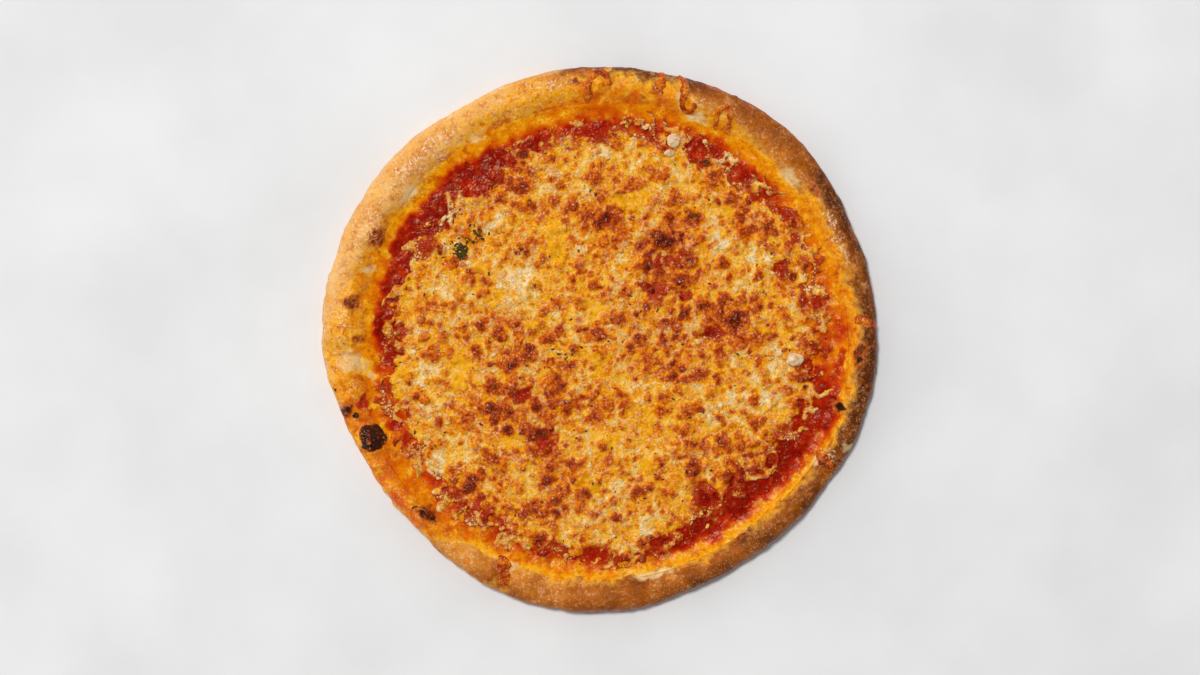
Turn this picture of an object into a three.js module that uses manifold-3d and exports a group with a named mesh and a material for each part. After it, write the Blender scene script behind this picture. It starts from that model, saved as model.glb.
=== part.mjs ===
// A whole margherita pizza, baked and uncut: a puffed dough crust, tomato sauce spread on its floor,
// a blanket of melted and toasted cheese on the sauce, white curds that kept their form on the
// cheese, and strings of grated cheese that browned where they fell on the rim.
//
// Millimetres, +Z up. The origin is under the middle of the pizza, on the surface that it rests on.
// Angles are in degrees, anticlockwise from +X, seen from above.

import * as THREE from "three";
import { mergeVertices } from "three/addons/utils/BufferGeometryUtils.js";
import Module from "manifold-3d";

const wasm = await Module();
wasm.setup();

// ---------------------------------------------------------------- driving dimensions

// The rim every 15 degrees, from angle 0: its outer radius, the radius of its foot, where the
// inner slope meets the floor, and the height of its crest.
const RIM = [
  [160, 137, 13.5], [159, 136, 14], [160, 136, 15], [162, 136, 16], [161, 134, 15.5], [158, 131, 14.5],
  [157, 129, 14], [157, 128, 13.5], [156, 128, 14], [159, 131, 14.5], [160, 132, 15], [160, 131, 15.5],
  [161, 130, 17], [156, 135, 14.5], [153, 137, 13], [152, 137, 12.5], [156, 136, 14.5], [158, 134, 16],
  [158, 133, 15.5], [155, 134, 14.5], [153, 134, 13.5], [154, 135, 14], [156, 138, 13], [159, 140, 13],
];
const FLOOR_HEIGHT = 5; // thickness of the dough under the toppings
const CREST_PLACE = 0.62; // where the crest is, as a share of the way from the foot to the outside
const WIDEST_HEIGHT = 0.42; // where the rim is widest, as a share of the crest's height
const TUCK = 7; // how far the rim draws in again under its widest line
const SLOPE_POWER = 1.4; // how softly the inner slope starts at its foot
const PUFF_POWER = 0.88; // below 1 the outer section is fuller than an ellipse

// Puffs along the rim: [waves round the pizza, height, phase].
const PUFFS = [[5, 0.8, 40], [9, 0.8, 200], [16, 0.6, 95]];

// Creases pressed across the rim: [angle, half width, depth].
const CREASES = [
  [184, 6, 4.5], [77, 7, 2.2], [38, 8, 1.8], [247, 6, 1.6], [283, 8, 1.5], [328, 5, 1.6], [112, 8, 1.5],
];

// Bubbles in the dough of the rim: [angle, radius, half length outwards, half width, height].
const BUBBLES = [
  [203.5, 142, 9, 9, 4.5], [194, 150, 6, 6, 2], [226, 145, 7, 8, 1.5], [170, 144, 8, 8, 1.8],
  [90, 146, 8, 9, 1.6], [154, 142, 7, 8, 1.4], [344, 144, 6, 6, 1.5],
];

const SAUCE_THICKNESS = 1.4;
const SAUCE_LIP = 2.5; // width of the sloping edge of the sauce
const CLEARANCE = 0.3; // between the faceted faces of two layers that lie on each other

// The edge of the cheese every 15 degrees, from angle 0.
const CHEESE_EDGE = [
  130, 128, 129, 127, 124, 126, 123, 118, 113, 115, 118, 122,
  124, 131, 131, 131, 130, 130, 126, 122, 117, 114, 118, 126,
];
// The ragged part of that edge: [waves round the pizza, depth, phase].
const CHEESE_RAGS = [[19, 0.9, 10], [31, 0.9, 130], [43, 0.6, 250]];
const CHEESE_THICKNESS = 2.4;
const CHEESE_EDGE_THICKNESS = 1.1;
const EDGE_POWER = 12; // how late the cheese thins towards its edge

// Toasted blisters stand all over the cheese on a sunflower spiral, and these larger ones besides:
// [x, y, radius, height].
const BLISTERS = 120;
const BLISTER_RADIUS = [4.2, 6]; // smallest and largest
const BLISTER_HEIGHT = [0.9, 1.7];
const LARGE_BLISTERS = [
  [-54, -13, 7, 2.4], [-2, 68, 8, 2.2], [-77, -85, 8, 2.6], [105, 43, 8, 1.8], [77, 12, 7, 2.2],
  [36, 56, 7, 2], [90, -48, 6, 2.2], [-36, -115, 7, 2], [32, -29, 6, 1.8], [-32, -63, 7, 2],
];
// White curds on the cheese: [x, y, half length, half width, half thickness, turn].
const CURDS = [[112, -12, 5.2, 4, 2.4, -20], [42, 114, 4.4, 3.6, 2, 60], [40, 107, 2.8, 2.2, 1.6, 0]];
const CURD_LUMPS = 0.16; // how far a curd's surface strays from an ellipsoid, as a share
const CURD_LIFT = 0.7; // how high a curd's middle stands, as a share of its half thickness

// Places where the cheese has drawn back from the sauce: [x, y, half length, half width, turn].
const CHEESE_HOLES = [[33, 30, 7, 3.5, 60], [65, 3, 5, 2.6, 10], [57, -87, 7, 3, 125], [-1, -120, 5, 3, 60]];

// Herb flakes on the cheese: a clump of the given number round [x, y], and the rest on their own.
const HERB_CLUMPS = [[-80, 52, 6], [-70, 60, 3], [-2, 88, 3], [-20, -8, 3]];
const LONE_HERBS = 14;
const HERB_SIZE = [2.2, 1.3, 0.9]; // length, width and thickness of a flake

// Cheese strings on the rim: the width of each, and the line it lies along as [angle, radius].
const STRINGS = [
  [3.4, [[93.2, 136], [92.8, 143], [92, 150], [90, 153.5], [88.6, 150.5], [87.8, 145.5]]],
  [4.2, [[77, 157.5], [76.6, 152], [77.1, 147.5], [75.8, 144.5]]],
  [3, [[73.4, 158.5], [71.8, 155], [71.1, 149.5], [70.8, 143], [69.6, 139.7], [68.2, 141.5], [68.2, 146]]],
  [2.6, [[61, 137], [62.2, 143], [62.4, 148.5], [61.6, 151.5], [60.2, 149.5], [59, 144], [58.3, 138.5]]],
  [5.2, [[245.1, 133], [246.6, 141], [247.9, 147], [248.9, 152.5]]],
  [4, [[4.4, 147], [3.6, 153], [2.6, 158.5]]],
  [3.4, [[332.6, 140.5], [331.8, 147], [331, 152.5]]],
];
const STRING_FLATNESS = 0.7; // a string's thickness, as a share of its width
const STRING_LIFT = 0.15; // how high its middle lies over the rim, as a share of its width

// Fineness of the faceted surfaces.
const SECTORS = 128; // round the crust and the sauce
const SLOPE_STEPS = 6; // up the inner slope of the rim
const OUTER_STEPS = 5; // from the crest to the widest line
const UNDER_STEPS = 3; // from the widest line to the base
const CHEESE_STEPS = 48; // cells across the cheese
const HOLE_SIDES = 10;
const STRING_SIDES = 6;

const GOLDEN_ANGLE = 137.508; // between neighbours on a sunflower spiral
const CUT_SIZE = 400; // wide enough to cut across the whole pizza

// ---------------------------------------------------------------- small helpers

const radians = THREE.MathUtils.degToRad;
const { lerp, euclideanModulo: wrapped } = THREE.MathUtils;

// A repeatable number from 0 to 1 for item i of a series.
const chance = (i, series) => wrapped(Math.sin(i * 12.9898 + series * 78.233) * 43758.5453, 1);

// The angle of a point seen from the origin, from 0 to 360.
const angleOf = (x, y) => wrapped(THREE.MathUtils.radToDeg(Math.atan2(y, x)), 360);

// The shortest way from one angle to another, from -180 to 180.
const turnBetween = (from, to) => wrapped(to - from + 180, 360) - 180;

// A sum of waves round the pizza at one angle, from rows of [waves, height, phase].
const waves = (rows, angle) =>
  rows.reduce((sum, [count, height, phase]) => sum + height * Math.sin(radians(count * angle + phase)), 0);

// A smooth dome: 1 in its middle and 0 from a distance of 1 outwards.
const dome = (distance) => (Math.abs(distance) < 1 ? (1 - distance ** 2) ** 2 : 0);

// A closed smooth curve through rows of three numbers, evenly spaced round the pizza.
function ringOf(rows) {
  const curve = new THREE.CatmullRomCurve3(rows.map((row) => new THREE.Vector3(...row)), true);
  return (angle) => curve.getPoint(wrapped(angle, 360) / 360);
}

// Rewrites each vertex of a three.js geometry, and leaves only merged positions.
function reshaped(geometry, place = () => {}) {
  geometry.deleteAttribute("normal");
  geometry.deleteAttribute("uv");
  const position = geometry.getAttribute("position");
  const point = new THREE.Vector3();
  for (let i = 0; i < position.count; i++) {
    place(point.fromBufferAttribute(position, i), i);
    position.setXYZ(i, point.x, point.y, point.z);
  }
  return mergeVertices(geometry, 1e-3);
}

const solidOf = (geometry) =>
  new wasm.Manifold(new wasm.Mesh({
    numProp: 3,
    vertProperties: geometry.getAttribute("position").array,
    triVerts: new Uint32Array(geometry.index.array),
  }));

function geometryOf(solid) {
  const { vertProperties, triVerts } = solid.getMesh();
  return new THREE.BufferGeometry()
    .setAttribute("position", new THREE.BufferAttribute(vertProperties, 3))
    .setIndex(new THREE.BufferAttribute(triVerts, 1));
}

// The largest of the pieces that a cut leaves.
const largestPiece = (solid) => solid.decompose().sort((a, b) => b.volume() - a.volume())[0];

function named(name, geometry, color, roughness) {
  geometry.computeVertexNormals();
  const mesh = new THREE.Mesh(geometry, new THREE.MeshStandardMaterial({ color, roughness, metalness: 0 }));
  mesh.name = name;
  return mesh;
}

// ---------------------------------------------------------------- crust

const rimAt = ringOf(RIM);

// The height that puffs, creases and bubbles add to the rim at an angle and radius.
function rimRelief(angle, radius) {
  const across = (other) => radians(turnBetween(other, angle)) * radius;
  const creases = CREASES.reduce(
    (sum, [at, halfWidth, depth]) => sum - depth * dome(across(at) / halfWidth),
    0,
  );
  const bubbles = BUBBLES.reduce(
    (sum, [at, from, halfLength, halfWidth, height]) =>
      sum + height * dome(Math.hypot((radius - from) / halfLength, across(at) / halfWidth)),
    0,
  );
  return waves(PUFFS, angle) + creases + bubbles;
}

// The crust's section at one angle, from the middle of the base, out and over the rim, to the
// middle of the floor: quarter ellipses under and over the widest line, then a soft slope.
function crustSection(angle) {
  const { x: outer, y: foot, z: crestHeight } = rimAt(angle);
  const crest = lerp(foot, outer, CREST_PLACE);
  const widest = crestHeight * WIDEST_HEIGHT;
  const section = [[0, 0], [outer - TUCK, 0]];
  for (let i = 1; i <= UNDER_STEPS; i++) {
    const turn = (i / UNDER_STEPS) * (Math.PI / 2);
    const radius = outer - TUCK * (1 - Math.sin(turn) ** PUFF_POWER);
    section.push([radius, widest * (1 - Math.cos(turn) ** PUFF_POWER)]);
  }
  for (let i = 1; i <= OUTER_STEPS; i++) {
    const turn = (i / OUTER_STEPS) * (Math.PI / 2);
    const rise = Math.sin(turn) ** PUFF_POWER;
    const radius = lerp(crest, outer, Math.cos(turn) ** PUFF_POWER);
    section.push([radius, lerp(widest, crestHeight, rise) + rise * rimRelief(angle, radius)]);
  }
  for (let i = 1; i <= SLOPE_STEPS; i++) {
    const way = i / SLOPE_STEPS;
    const rise = Math.cos((way * Math.PI) / 2) ** SLOPE_POWER;
    const radius = lerp(crest, foot, way);
    section.push([radius, lerp(FLOOR_HEIGHT, crestHeight, rise) + rise * rimRelief(angle, radius)]);
  }
  return [...section, [0, FLOOR_HEIGHT]];
}

// A lathed body whose section changes with the angle.
function turned(sectionAt, sectors) {
  const rings = sectionAt(0).length;
  const start = Array.from({ length: rings }, (_, i) => new THREE.Vector2(i, i));
  return reshaped(new THREE.LatheGeometry(start, sectors), (point, i) => {
    const sector = Math.floor(i / rings) % sectors;
    const angle = (sector / sectors) * 360;
    const [radius, height] = sectionAt(angle)[i % rings];
    point.set(radius * Math.cos(radians(angle)), radius * Math.sin(radians(angle)), height);
  });
}

const crust = turned(crustSection, SECTORS);

// ---------------------------------------------------------------- sauce

const sauceBottom = FLOOR_HEIGHT + CLEARANCE;
const sauceTop = sauceBottom + SAUCE_THICKNESS;

// The sauce's section: a flat layer up to the foot of the rim, with a thin sloping edge.
function sauceSection(angle) {
  const edge = rimAt(angle).y - CLEARANCE;
  return [[0, sauceBottom], [edge, sauceBottom], [edge - SAUCE_LIP, sauceTop], [0, sauceTop]];
}

const sauce = turned(sauceSection, SECTORS);

// ---------------------------------------------------------------- cheese

const cheeseBottom = sauceTop + CLEARANCE;
const edgeAt = ringOf(CHEESE_EDGE.map((radius) => [radius, 0, 0]));
const cheeseEdge = (angle) => edgeAt(angle).x + waves(CHEESE_RAGS, angle);

// Item i of count on a sunflower spiral out to a radius: evenly spread, with no rows.
function sunflower(i, count, reach) {
  const radius = reach * Math.sqrt((i + 0.5) / count);
  return [radius * Math.cos(radians(i * GOLDEN_ANGLE)), radius * Math.sin(radians(i * GOLDEN_ANGLE))];
}

const blisters = [
  ...LARGE_BLISTERS,
  ...Array.from({ length: BLISTERS }, (_, i) => [
    ...sunflower(i, BLISTERS, Math.min(...CHEESE_EDGE)),
    lerp(...BLISTER_RADIUS, chance(i, 1)),
    lerp(...BLISTER_HEIGHT, chance(i, 2)),
  ]),
];

// The height of the cheese's upper face over a point that lies inwards of the edge by a share.
function cheeseTop(x, y, share) {
  const thinning = share ** EDGE_POWER;
  const raised = Math.max(
    ...blisters.map(([bx, by, radius, height]) => height * dome(Math.hypot(x - bx, y - by) / radius)),
  );
  return cheeseBottom + lerp(CHEESE_THICKNESS + raised, CHEESE_EDGE_THICKNESS, thinning);
}

// A grid of cells over a disc: a square drawn out to a circle, then out to the ragged edge. Its
// lower half is cut away, which leaves a flat underside.
function cheeseBlanket() {
  const blanket = new THREE.BoxGeometry(2, 2, 2, CHEESE_STEPS, CHEESE_STEPS, 1);
  const slab = new THREE.BoxGeometry(CUT_SIZE, CUT_SIZE, CUT_SIZE);
  slab.translate(0, 0, cheeseBottom - CUT_SIZE / 2);
  const shaped = reshaped(blanket, (point) => {
    const x = point.x * Math.sqrt(1 - point.y ** 2 / 2);
    const y = point.y * Math.sqrt(1 - point.x ** 2 / 2);
    const edge = cheeseEdge(angleOf(x, y));
    const top = cheeseTop(x * edge, y * edge, Math.min(Math.hypot(x, y), 1));
    point.set(x * edge, y * edge, point.z < 0 ? cheeseBottom - CHEESE_THICKNESS : top);
  });
  return solidOf(shaped).subtract(solidOf(reshaped(slab)));
}

// A plug that cuts one hole through the cheese.
function holePlug([x, y, halfLength, halfWidth, turn]) {
  const plug = new THREE.CylinderGeometry(1, 1, CUT_SIZE, HOLE_SIDES)
    .rotateX(Math.PI / 2)
    .scale(halfLength, halfWidth, 1)
    .rotateZ(radians(turn))
    .translate(x, y, cheeseBottom);
  return solidOf(reshaped(plug));
}

// A flat herb flake that lies on the cheese at x and y, sunk to half its thickness.
function herbFlake(x, y, i) {
  const share = Math.hypot(x, y) / cheeseEdge(angleOf(x, y));
  const [length, width, thickness] = HERB_SIZE;
  const flake = new THREE.OctahedronGeometry(1)
    .scale(length / 2, width / 2, thickness)
    .rotateZ(radians(360 * chance(i, 3)))
    .translate(x, y, cheeseTop(x, y, share));
  return solidOf(reshaped(flake));
}

const herbs = HERB_CLUMPS.flatMap(([x, y, count]) =>
  Array.from({ length: count }, (_, i) => {
    const [dx, dy] = sunflower(i, count, HERB_SIZE[0] * Math.sqrt(count));
    return [x + dx, y + dy];
  }),
);
for (let i = 0; i < LONE_HERBS; i++) {
  herbs.push(sunflower(i, LONE_HERBS, Math.min(...CHEESE_EDGE)));
}

const holed = CHEESE_HOLES.reduce((solid, hole) => solid.subtract(holePlug(hole)), cheeseBlanket());
const cheeseSolid = herbs.reduce((solid, [x, y], i) => solid.add(herbFlake(x, y, i)), holed);

// ---------------------------------------------------------------- curds

const cheeseLifted = cheeseSolid.translate(0, 0, CLEARANCE);

// A lumpy curd that lies on the cheese, with a hollow below where the blisters press into it.
function curd([x, y, halfLength, halfWidth, halfThickness, turn], series) {
  const rest = cheeseTop(x, y, Math.hypot(x, y) / cheeseEdge(angleOf(x, y)));
  const smooth = reshaped(new THREE.IcosahedronGeometry(1, 1));
  const lumpy = reshaped(smooth, (point, i) => {
    point.multiplyScalar(1 + CURD_LUMPS * (chance(i, series) - 0.5));
  });
  lumpy
    .scale(halfLength, halfWidth, halfThickness)
    .rotateZ(radians(turn))
    .translate(x, y, rest + halfThickness * CURD_LIFT);
  return solidOf(lumpy).subtract(cheeseLifted);
}

// ---------------------------------------------------------------- cheese strings on the rim

// The height of the rim's upper face at an angle and radius, read off the crust's section.
function rimHeight(angle, radius) {
  const upper = crustSection(angle).slice(2 + UNDER_STEPS - 1, -1);
  const next = Math.max(1, upper.findIndex(([r]) => r <= radius));
  const [r1, z1] = upper[next - 1];
  const [r2, z2] = upper[next];
  return lerp(z1, z2, THREE.MathUtils.clamp((radius - r1) / (r2 - r1), 0, 1));
}

const crustLifted = solidOf(crust.clone().translate(0, 0, CLEARANCE));

// A flattened strip along its line on the rim, cut to the crust's form below.
function cheeseString([width, line]) {
  const path = new THREE.CatmullRomCurve3(line.map(([angle, radius]) => new THREE.Vector3(
    radius * Math.cos(radians(angle)),
    radius * Math.sin(radians(angle)),
    rimHeight(angle, radius) + width * STRING_LIFT,
  )));
  const section = new THREE.Shape(Array.from({ length: STRING_SIDES }, (_, i) => {
    const turn = ((i + 0.5) / STRING_SIDES) * 2 * Math.PI;
    return new THREE.Vector2((width / 2) * STRING_FLATNESS * Math.cos(turn), (width / 2) * Math.sin(turn));
  }));
  const steps = 2 * line.length;
  const strip = new THREE.ExtrudeGeometry(section, { steps, extrudePath: path });
  return solidOf(reshaped(strip)).subtract(crustLifted);
}

// ---------------------------------------------------------------- the pizza

const pizza = new THREE.Group();
pizza.add(named("crust", crust, 0xd99a4e, 0.6));
pizza.add(named("sauce", sauce, 0x9c1a08, 0.3));
pizza.add(named("cheese", geometryOf(cheeseSolid), 0xe9a62c, 0.4));
CURDS.forEach((row, i) => {
  pizza.add(named(`curd_${i + 1}`, geometryOf(largestPiece(curd(row, 4 + i))), 0xf2e3c4, 0.5));
});
STRINGS.forEach((row, i) => {
  pizza.add(named(`cheese_string_${i + 1}`, geometryOf(largestPiece(cheeseString(row))), 0xb5651d, 0.4));
});

// The outline is uneven, so the whole is moved until the origin is under the middle of its box.
const middle = new THREE.Box3().setFromObject(pizza).getCenter(new THREE.Vector3());
pizza.position.set(-middle.x, -middle.y, 0);

export default pizza;
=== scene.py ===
# %% [markdown]
# # Dressing a margherita pizza
#
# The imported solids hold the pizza's true outline: the puffed rim, the sauce, the cheese, three
# curds and the cheese strings on the rim. This lesson lays a fine surface over each of them and
# gives it the look of baked food. Every surface is a numpy grid, a function of two parameters
# worked out as whole arrays. Lengths are in millimetres until a mesh is made.

# %% Open the frame
import math

import bpy
import numpy as np
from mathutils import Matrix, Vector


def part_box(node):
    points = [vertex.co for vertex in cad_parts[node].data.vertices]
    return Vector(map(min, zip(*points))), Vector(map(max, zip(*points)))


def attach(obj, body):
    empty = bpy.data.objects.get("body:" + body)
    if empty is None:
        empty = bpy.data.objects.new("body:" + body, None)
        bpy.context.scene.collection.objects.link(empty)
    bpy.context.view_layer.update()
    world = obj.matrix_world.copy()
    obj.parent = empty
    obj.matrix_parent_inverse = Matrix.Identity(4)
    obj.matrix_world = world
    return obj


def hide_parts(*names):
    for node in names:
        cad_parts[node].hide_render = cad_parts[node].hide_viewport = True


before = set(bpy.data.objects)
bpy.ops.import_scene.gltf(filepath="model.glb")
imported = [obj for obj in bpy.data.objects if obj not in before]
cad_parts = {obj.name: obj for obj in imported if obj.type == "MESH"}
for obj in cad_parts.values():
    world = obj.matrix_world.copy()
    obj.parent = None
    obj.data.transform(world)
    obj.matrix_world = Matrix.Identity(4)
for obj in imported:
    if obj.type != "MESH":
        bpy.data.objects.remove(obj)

MM = 0.001
TAU = 2 * math.pi
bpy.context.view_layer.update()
print("nodes:", sorted(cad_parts))

# %% [markdown]
# ## Shared tools
#
# Food is uneven at every scale, so nearly every surface below uses the same two patterns. Smooth
# noise gives lumps, stains and slow changes of tone. Cells give things that sit side by side, such
# as bubbles, crumbs and blisters. Both read a place in space, so that a pattern runs on without a
# seam round the pizza.

# %% Smooth noise and cells
LATTICE = np.random.default_rng(11).random((64, 64, 64, 4))


def noise(place, size, seed=0):
    """Random values at the corners of a lattice with this spacing, blended with 3t² - 2t³ along
    each axis: a smooth pattern from -1 to 1. Each seed reads another part of the lattice."""
    where = place / size + seed * 13.7
    low = np.floor(where).astype(int)
    t = where - low
    t = t * t * (3 - 2 * t)
    total = 0
    for corner in np.ndindex(2, 2, 2):
        i, j, k = np.moveaxis((low + corner) % 64, -1, 0)
        total = total + np.prod(np.where(corner, t, 1 - t), axis=-1) * LATTICE[i, j, k, 0]
    return 2 * total - 1


def cells(place, size, seed=0):
    """Each cube of this size holds one random point. Returns the distance to the nearest one, as a
    share of size, and a random number from 0 to 1 that belongs to it."""
    where = place / size + seed * 13.7
    low = np.floor(where).astype(int)
    nearest = np.full(where.shape[:-1], 9.0)
    token = np.zeros(where.shape[:-1])
    for corner in np.ndindex(3, 3, 3):
        cube = low + corner - 1
        i, j, k = np.moveaxis(cube % 64, -1, 0)
        distance = np.linalg.norm(cube + LATTICE[i, j, k, :3] - where, axis=-1)
        token = np.where(distance < nearest, LATTICE[i, j, k, 3], token)
        nearest = np.minimum(distance, nearest)
    return nearest, token


def dome(distance):
    """(1 - d²)²: 1 in the middle, and 0 from a distance of 1 outwards."""
    return np.clip(1 - distance**2, 0, 1) ** 2


def step(low, high, value):
    """0 below low, 1 above high, and 3t² - 2t³ between them."""
    t = np.clip((value - low) / (high - low), 0, 1)
    return t * t * (3 - 2 * t)


def mix(a, b, share):
    """a where share is 0, b where it is 1."""
    return a + (b - a) * share


def spots(x, y, rows):
    """The strongest of several soft ellipses, from rows of x, y, half length, half width, turn in
    degrees, and strength."""
    strongest = np.zeros_like(x)
    for x0, y0, half_length, half_width, turn, strength in rows:
        along = (x - x0) * math.cos(math.radians(turn)) + (y - y0) * math.sin(math.radians(turn))
        across = (y - y0) * math.cos(math.radians(turn)) - (x - x0) * math.sin(math.radians(turn))
        ellipse = strength * step(1.05, 0.3, np.hypot(along / half_length, across / half_width))
        strongest = np.maximum(strongest, ellipse)
    return strongest


def by_turn(values):
    """A smooth function of the angle in radians through values evenly spaced round the pizza."""
    values = np.array(values, float)

    def at(angle):
        where = np.mod(angle, TAU) / TAU * len(values)
        low = np.floor(where).astype(int)
        t = where - low
        return mix(values[low % len(values)], values[(low + 1) % len(values)], t * t * (3 - 2 * t))

    return at


# %% [markdown]
# Every piece is put into Blender in the same way: points, faces and a few values at each point,
# such as how toasted it is, which the materials read as attributes.

# %% Meshes from arrays
def put(name, points, face_sets, material, values=None, replaces=()):
    """Makes a smooth-shaded piece of points in mm and sets of faces, each an array with a row of
    corner numbers for each face. values maps an attribute's name to its number at each point."""
    mesh = bpy.data.meshes.new(name)
    sides = np.concatenate([np.full(len(faces), faces.shape[1]) for faces in face_sets])
    corners = np.concatenate([faces.ravel() for faces in face_sets])
    mesh.vertices.add(len(points))
    mesh.vertices.foreach_set("co", (points * MM).astype(np.float32).ravel())
    mesh.loops.add(len(corners))
    mesh.loops.foreach_set("vertex_index", corners.astype(np.int32))
    mesh.polygons.add(len(sides))
    mesh.polygons.foreach_set("loop_start", (np.cumsum(sides) - sides).astype(np.int32))
    mesh.update(calc_edges=True)
    mesh.shade_smooth()
    for layer, numbers in (values or {}).items():
        attribute = mesh.attributes.new(layer, "FLOAT", "POINT")
        attribute.data.foreach_set("value", np.ravel(numbers).astype(np.float32))
    mesh.materials.append(material)
    made = bpy.data.objects.new(name, mesh)
    bpy.context.scene.collection.objects.link(made)
    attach(made, "root")
    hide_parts(*replaces)
    print(f"{name}: {np.sum(sides - 2)} triangles")
    return made


def sheet_faces(rows, columns, closed):
    """Squares between the corners of a grid, anticlockwise for rows that go up and columns that go
    right. A closed grid joins its last column to its first."""
    row = np.arange(rows - 1)[:, None] * columns
    column = np.arange(columns if closed else columns - 1)
    beside = (column + 1) % columns
    corners = [row + column, row + beside, row + columns + beside, row + columns + column]
    return np.stack(corners, -1).reshape(-1, 4)


def fan_faces(ring, middle):
    """Triangles from each edge of a closed ring of corners to one corner in its middle."""
    return np.stack([ring, np.roll(ring, -1), np.full(len(ring), middle)], -1)


def closed_faces(rows, columns):
    """Faces of a closed grid, and of the two fans that close its ends round two last points."""
    count = rows * columns
    return [
        sheet_faces(rows, columns, True),
        fan_faces(np.arange(columns), count)[:, [1, 0, 2]],
        fan_faces(np.arange(count - columns, count), count + 1),
    ]


def copies(shape, faces, scales, turns, places):
    """Joins many copies of one small shape: each is scaled, turned by its own 3 × 3 matrix and put
    in its place. Returns all points and all faces."""
    points = np.einsum("nij,nvj->nvi", turns, shape * scales[:, None]) + places[:, None]
    offsets = np.arange(len(places))[:, None, None] * shape.shape[-2]
    return points.reshape(-1, 3), (faces + offsets).reshape(-1, faces.shape[1])


def turned(normals, angles):
    """Matrices that stand a shape's Z axis on each normal, after a turn by each angle about Z."""
    side = np.stack([np.cos(angles), np.sin(angles), np.zeros_like(angles)], -1)
    side -= normals * np.sum(side * normals, axis=-1, keepdims=True)
    side /= np.linalg.norm(side, axis=-1, keepdims=True)
    return np.stack([side, np.cross(normals, side), normals], -1)


# %% [markdown]
# ## Materials
#
# Baked food is mostly starch, fat and protein. It scatters light a little below its surface, so
# each material has a small share of subsurface scattering, and the fat on it makes it shine in
# small glints. Colours are written as sRGB hex values, as seen on a screen, and one function turns
# them to the linear values that the shaders work in.

# %% Colours and one helper for nodes
def linear(code):
    """c / 12.92 below 0.04045, and ((c + 0.055) / 1.055)^2.4 above it, for each channel c."""
    srgb = np.array([int(code[i : i + 2], 16) for i in (1, 3, 5)]) / 255
    rgb = np.where(srgb <= 0.04045, srgb / 12.92, ((srgb + 0.055) / 1.055) ** 2.4)
    return (*rgb.tolist(), 1.0)


def add(tree, kind, settings, out=0, stops=()):
    """Adds a node and returns one of its outputs. settings gives its properties, and for its inputs
    a value, a hex colour or the output that the input is joined to. stops are the places and
    colours of its ramp, in rising order."""
    node = tree.nodes.new(kind)
    for name, value in settings.items():
        if isinstance(value, bpy.types.NodeSocket):
            tree.links.new(value, node.inputs[name])
        elif isinstance(name, str) and hasattr(node, name):
            setattr(node, name, value)
        else:
            hex_colour = isinstance(value, str)
            node.inputs[name].default_value = linear(value) if hex_colour else value
    for index, (stop, code) in enumerate(stops):
        ramp = node.color_ramp.elements
        element = ramp[index] if index < 2 else ramp.new(stop)
        element.position, element.color = stop, linear(code)
    return node.outputs[out]


def per_mm(size):
    """The scale of a texture on object coordinates, in metres, for features of a size in mm."""
    return 1 / (size * MM)


def fractal(place, size, detail, roughness=0.5):
    """The settings of a noise with features of a size in mm."""
    return {"Scale": per_mm(size), "Detail": detail, "Roughness": roughness, "Vector": place}


def start(name):
    """A new material, its empty node tree, and the object coordinates."""
    material = bpy.data.materials.new(name)
    material.use_nodes = True
    tree = material.node_tree
    tree.nodes.clear()
    return material, tree, add(tree, "ShaderNodeTexCoord", {}, "Object")


def finish_surface(tree, settings):
    """Joins a Principled surface to the material's output."""
    surface = add(tree, "ShaderNodeBsdfPrincipled", settings)
    output = tree.nodes.new("ShaderNodeOutputMaterial")
    tree.links.new(surface, output.inputs["Surface"])


# %% [markdown]
# Food gets its colours in layers, from what lies deepest to what lies on top. Each layer has a
# colour, a greatest strength, and the patterns that it follows, such as a noise or an attribute,
# each with the values at which the layer starts and is full.

# %% Layers of colour
def read(tree, layer, ragged, spread):
    """An attribute's value, moved up and down by half the spread with ragged, a pattern around
    0.5, so that the edges of a patch follow the pattern."""
    value = add(tree, "ShaderNodeAttribute", {"attribute_name": layer}, "Fac")
    settings = {"operation": "MULTIPLY_ADD", 0: ragged, 1: spread, 2: -spread / 2}
    moved = add(tree, "ShaderNodeMath", settings)
    return add(tree, "ShaderNodeMath", {"operation": "ADD", "use_clamp": True, 0: value, 1: moved})


def amount(tree, strength, *patterns):
    """A strength times a share for each pattern, which is an output, its value where the share is
    least, its value where the share is 1, and that least share if it isn't 0."""
    for pattern, low, high, *least in patterns:
        settings = {"Value": pattern, "From Min": low, "From Max": high, "To Min": sum(least)}
        share = add(tree, "ShaderNodeMapRange", settings)
        settings = {"operation": "MULTIPLY", 0: strength, 1: share}
        strength = add(tree, "ShaderNodeMath", settings)
    return strength


def painted(tree, base, layers):
    """Lays colours over a base. A layer is a colour, its greatest strength and its patterns."""
    for colour, strength, *patterns in layers:
        cover = amount(tree, strength, *patterns)
        base = add(tree, "ShaderNodeMix", {"data_type": "RGBA", 0: cover, 6: base, 7: colour}, 2)
    return base


# %% [markdown]
# Dough, sauce and cheese all lie under fat, and the fat and the sauce ran from the one onto the
# other. So they share the tint of the fat's shine, the tones of wet dough and the marks of heat.

# %% Fat, wetness and marks
# What a film of frying fat leaves of white light.
OIL_TINT = (1.0, 0.72, 0.45, 1.0)
# From dough that only took up fat, through oily orange, to deep tomato sauce.
WET_STOPS = [
    (0.1, "#EEB24C"), (0.28, "#F6AC12"), (0.42, "#EE8E04"), (0.54, "#DC6202"),
    (0.66, "#C63804"), (0.8, "#AC1A04"), (1.0, "#880C03"),
]


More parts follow.
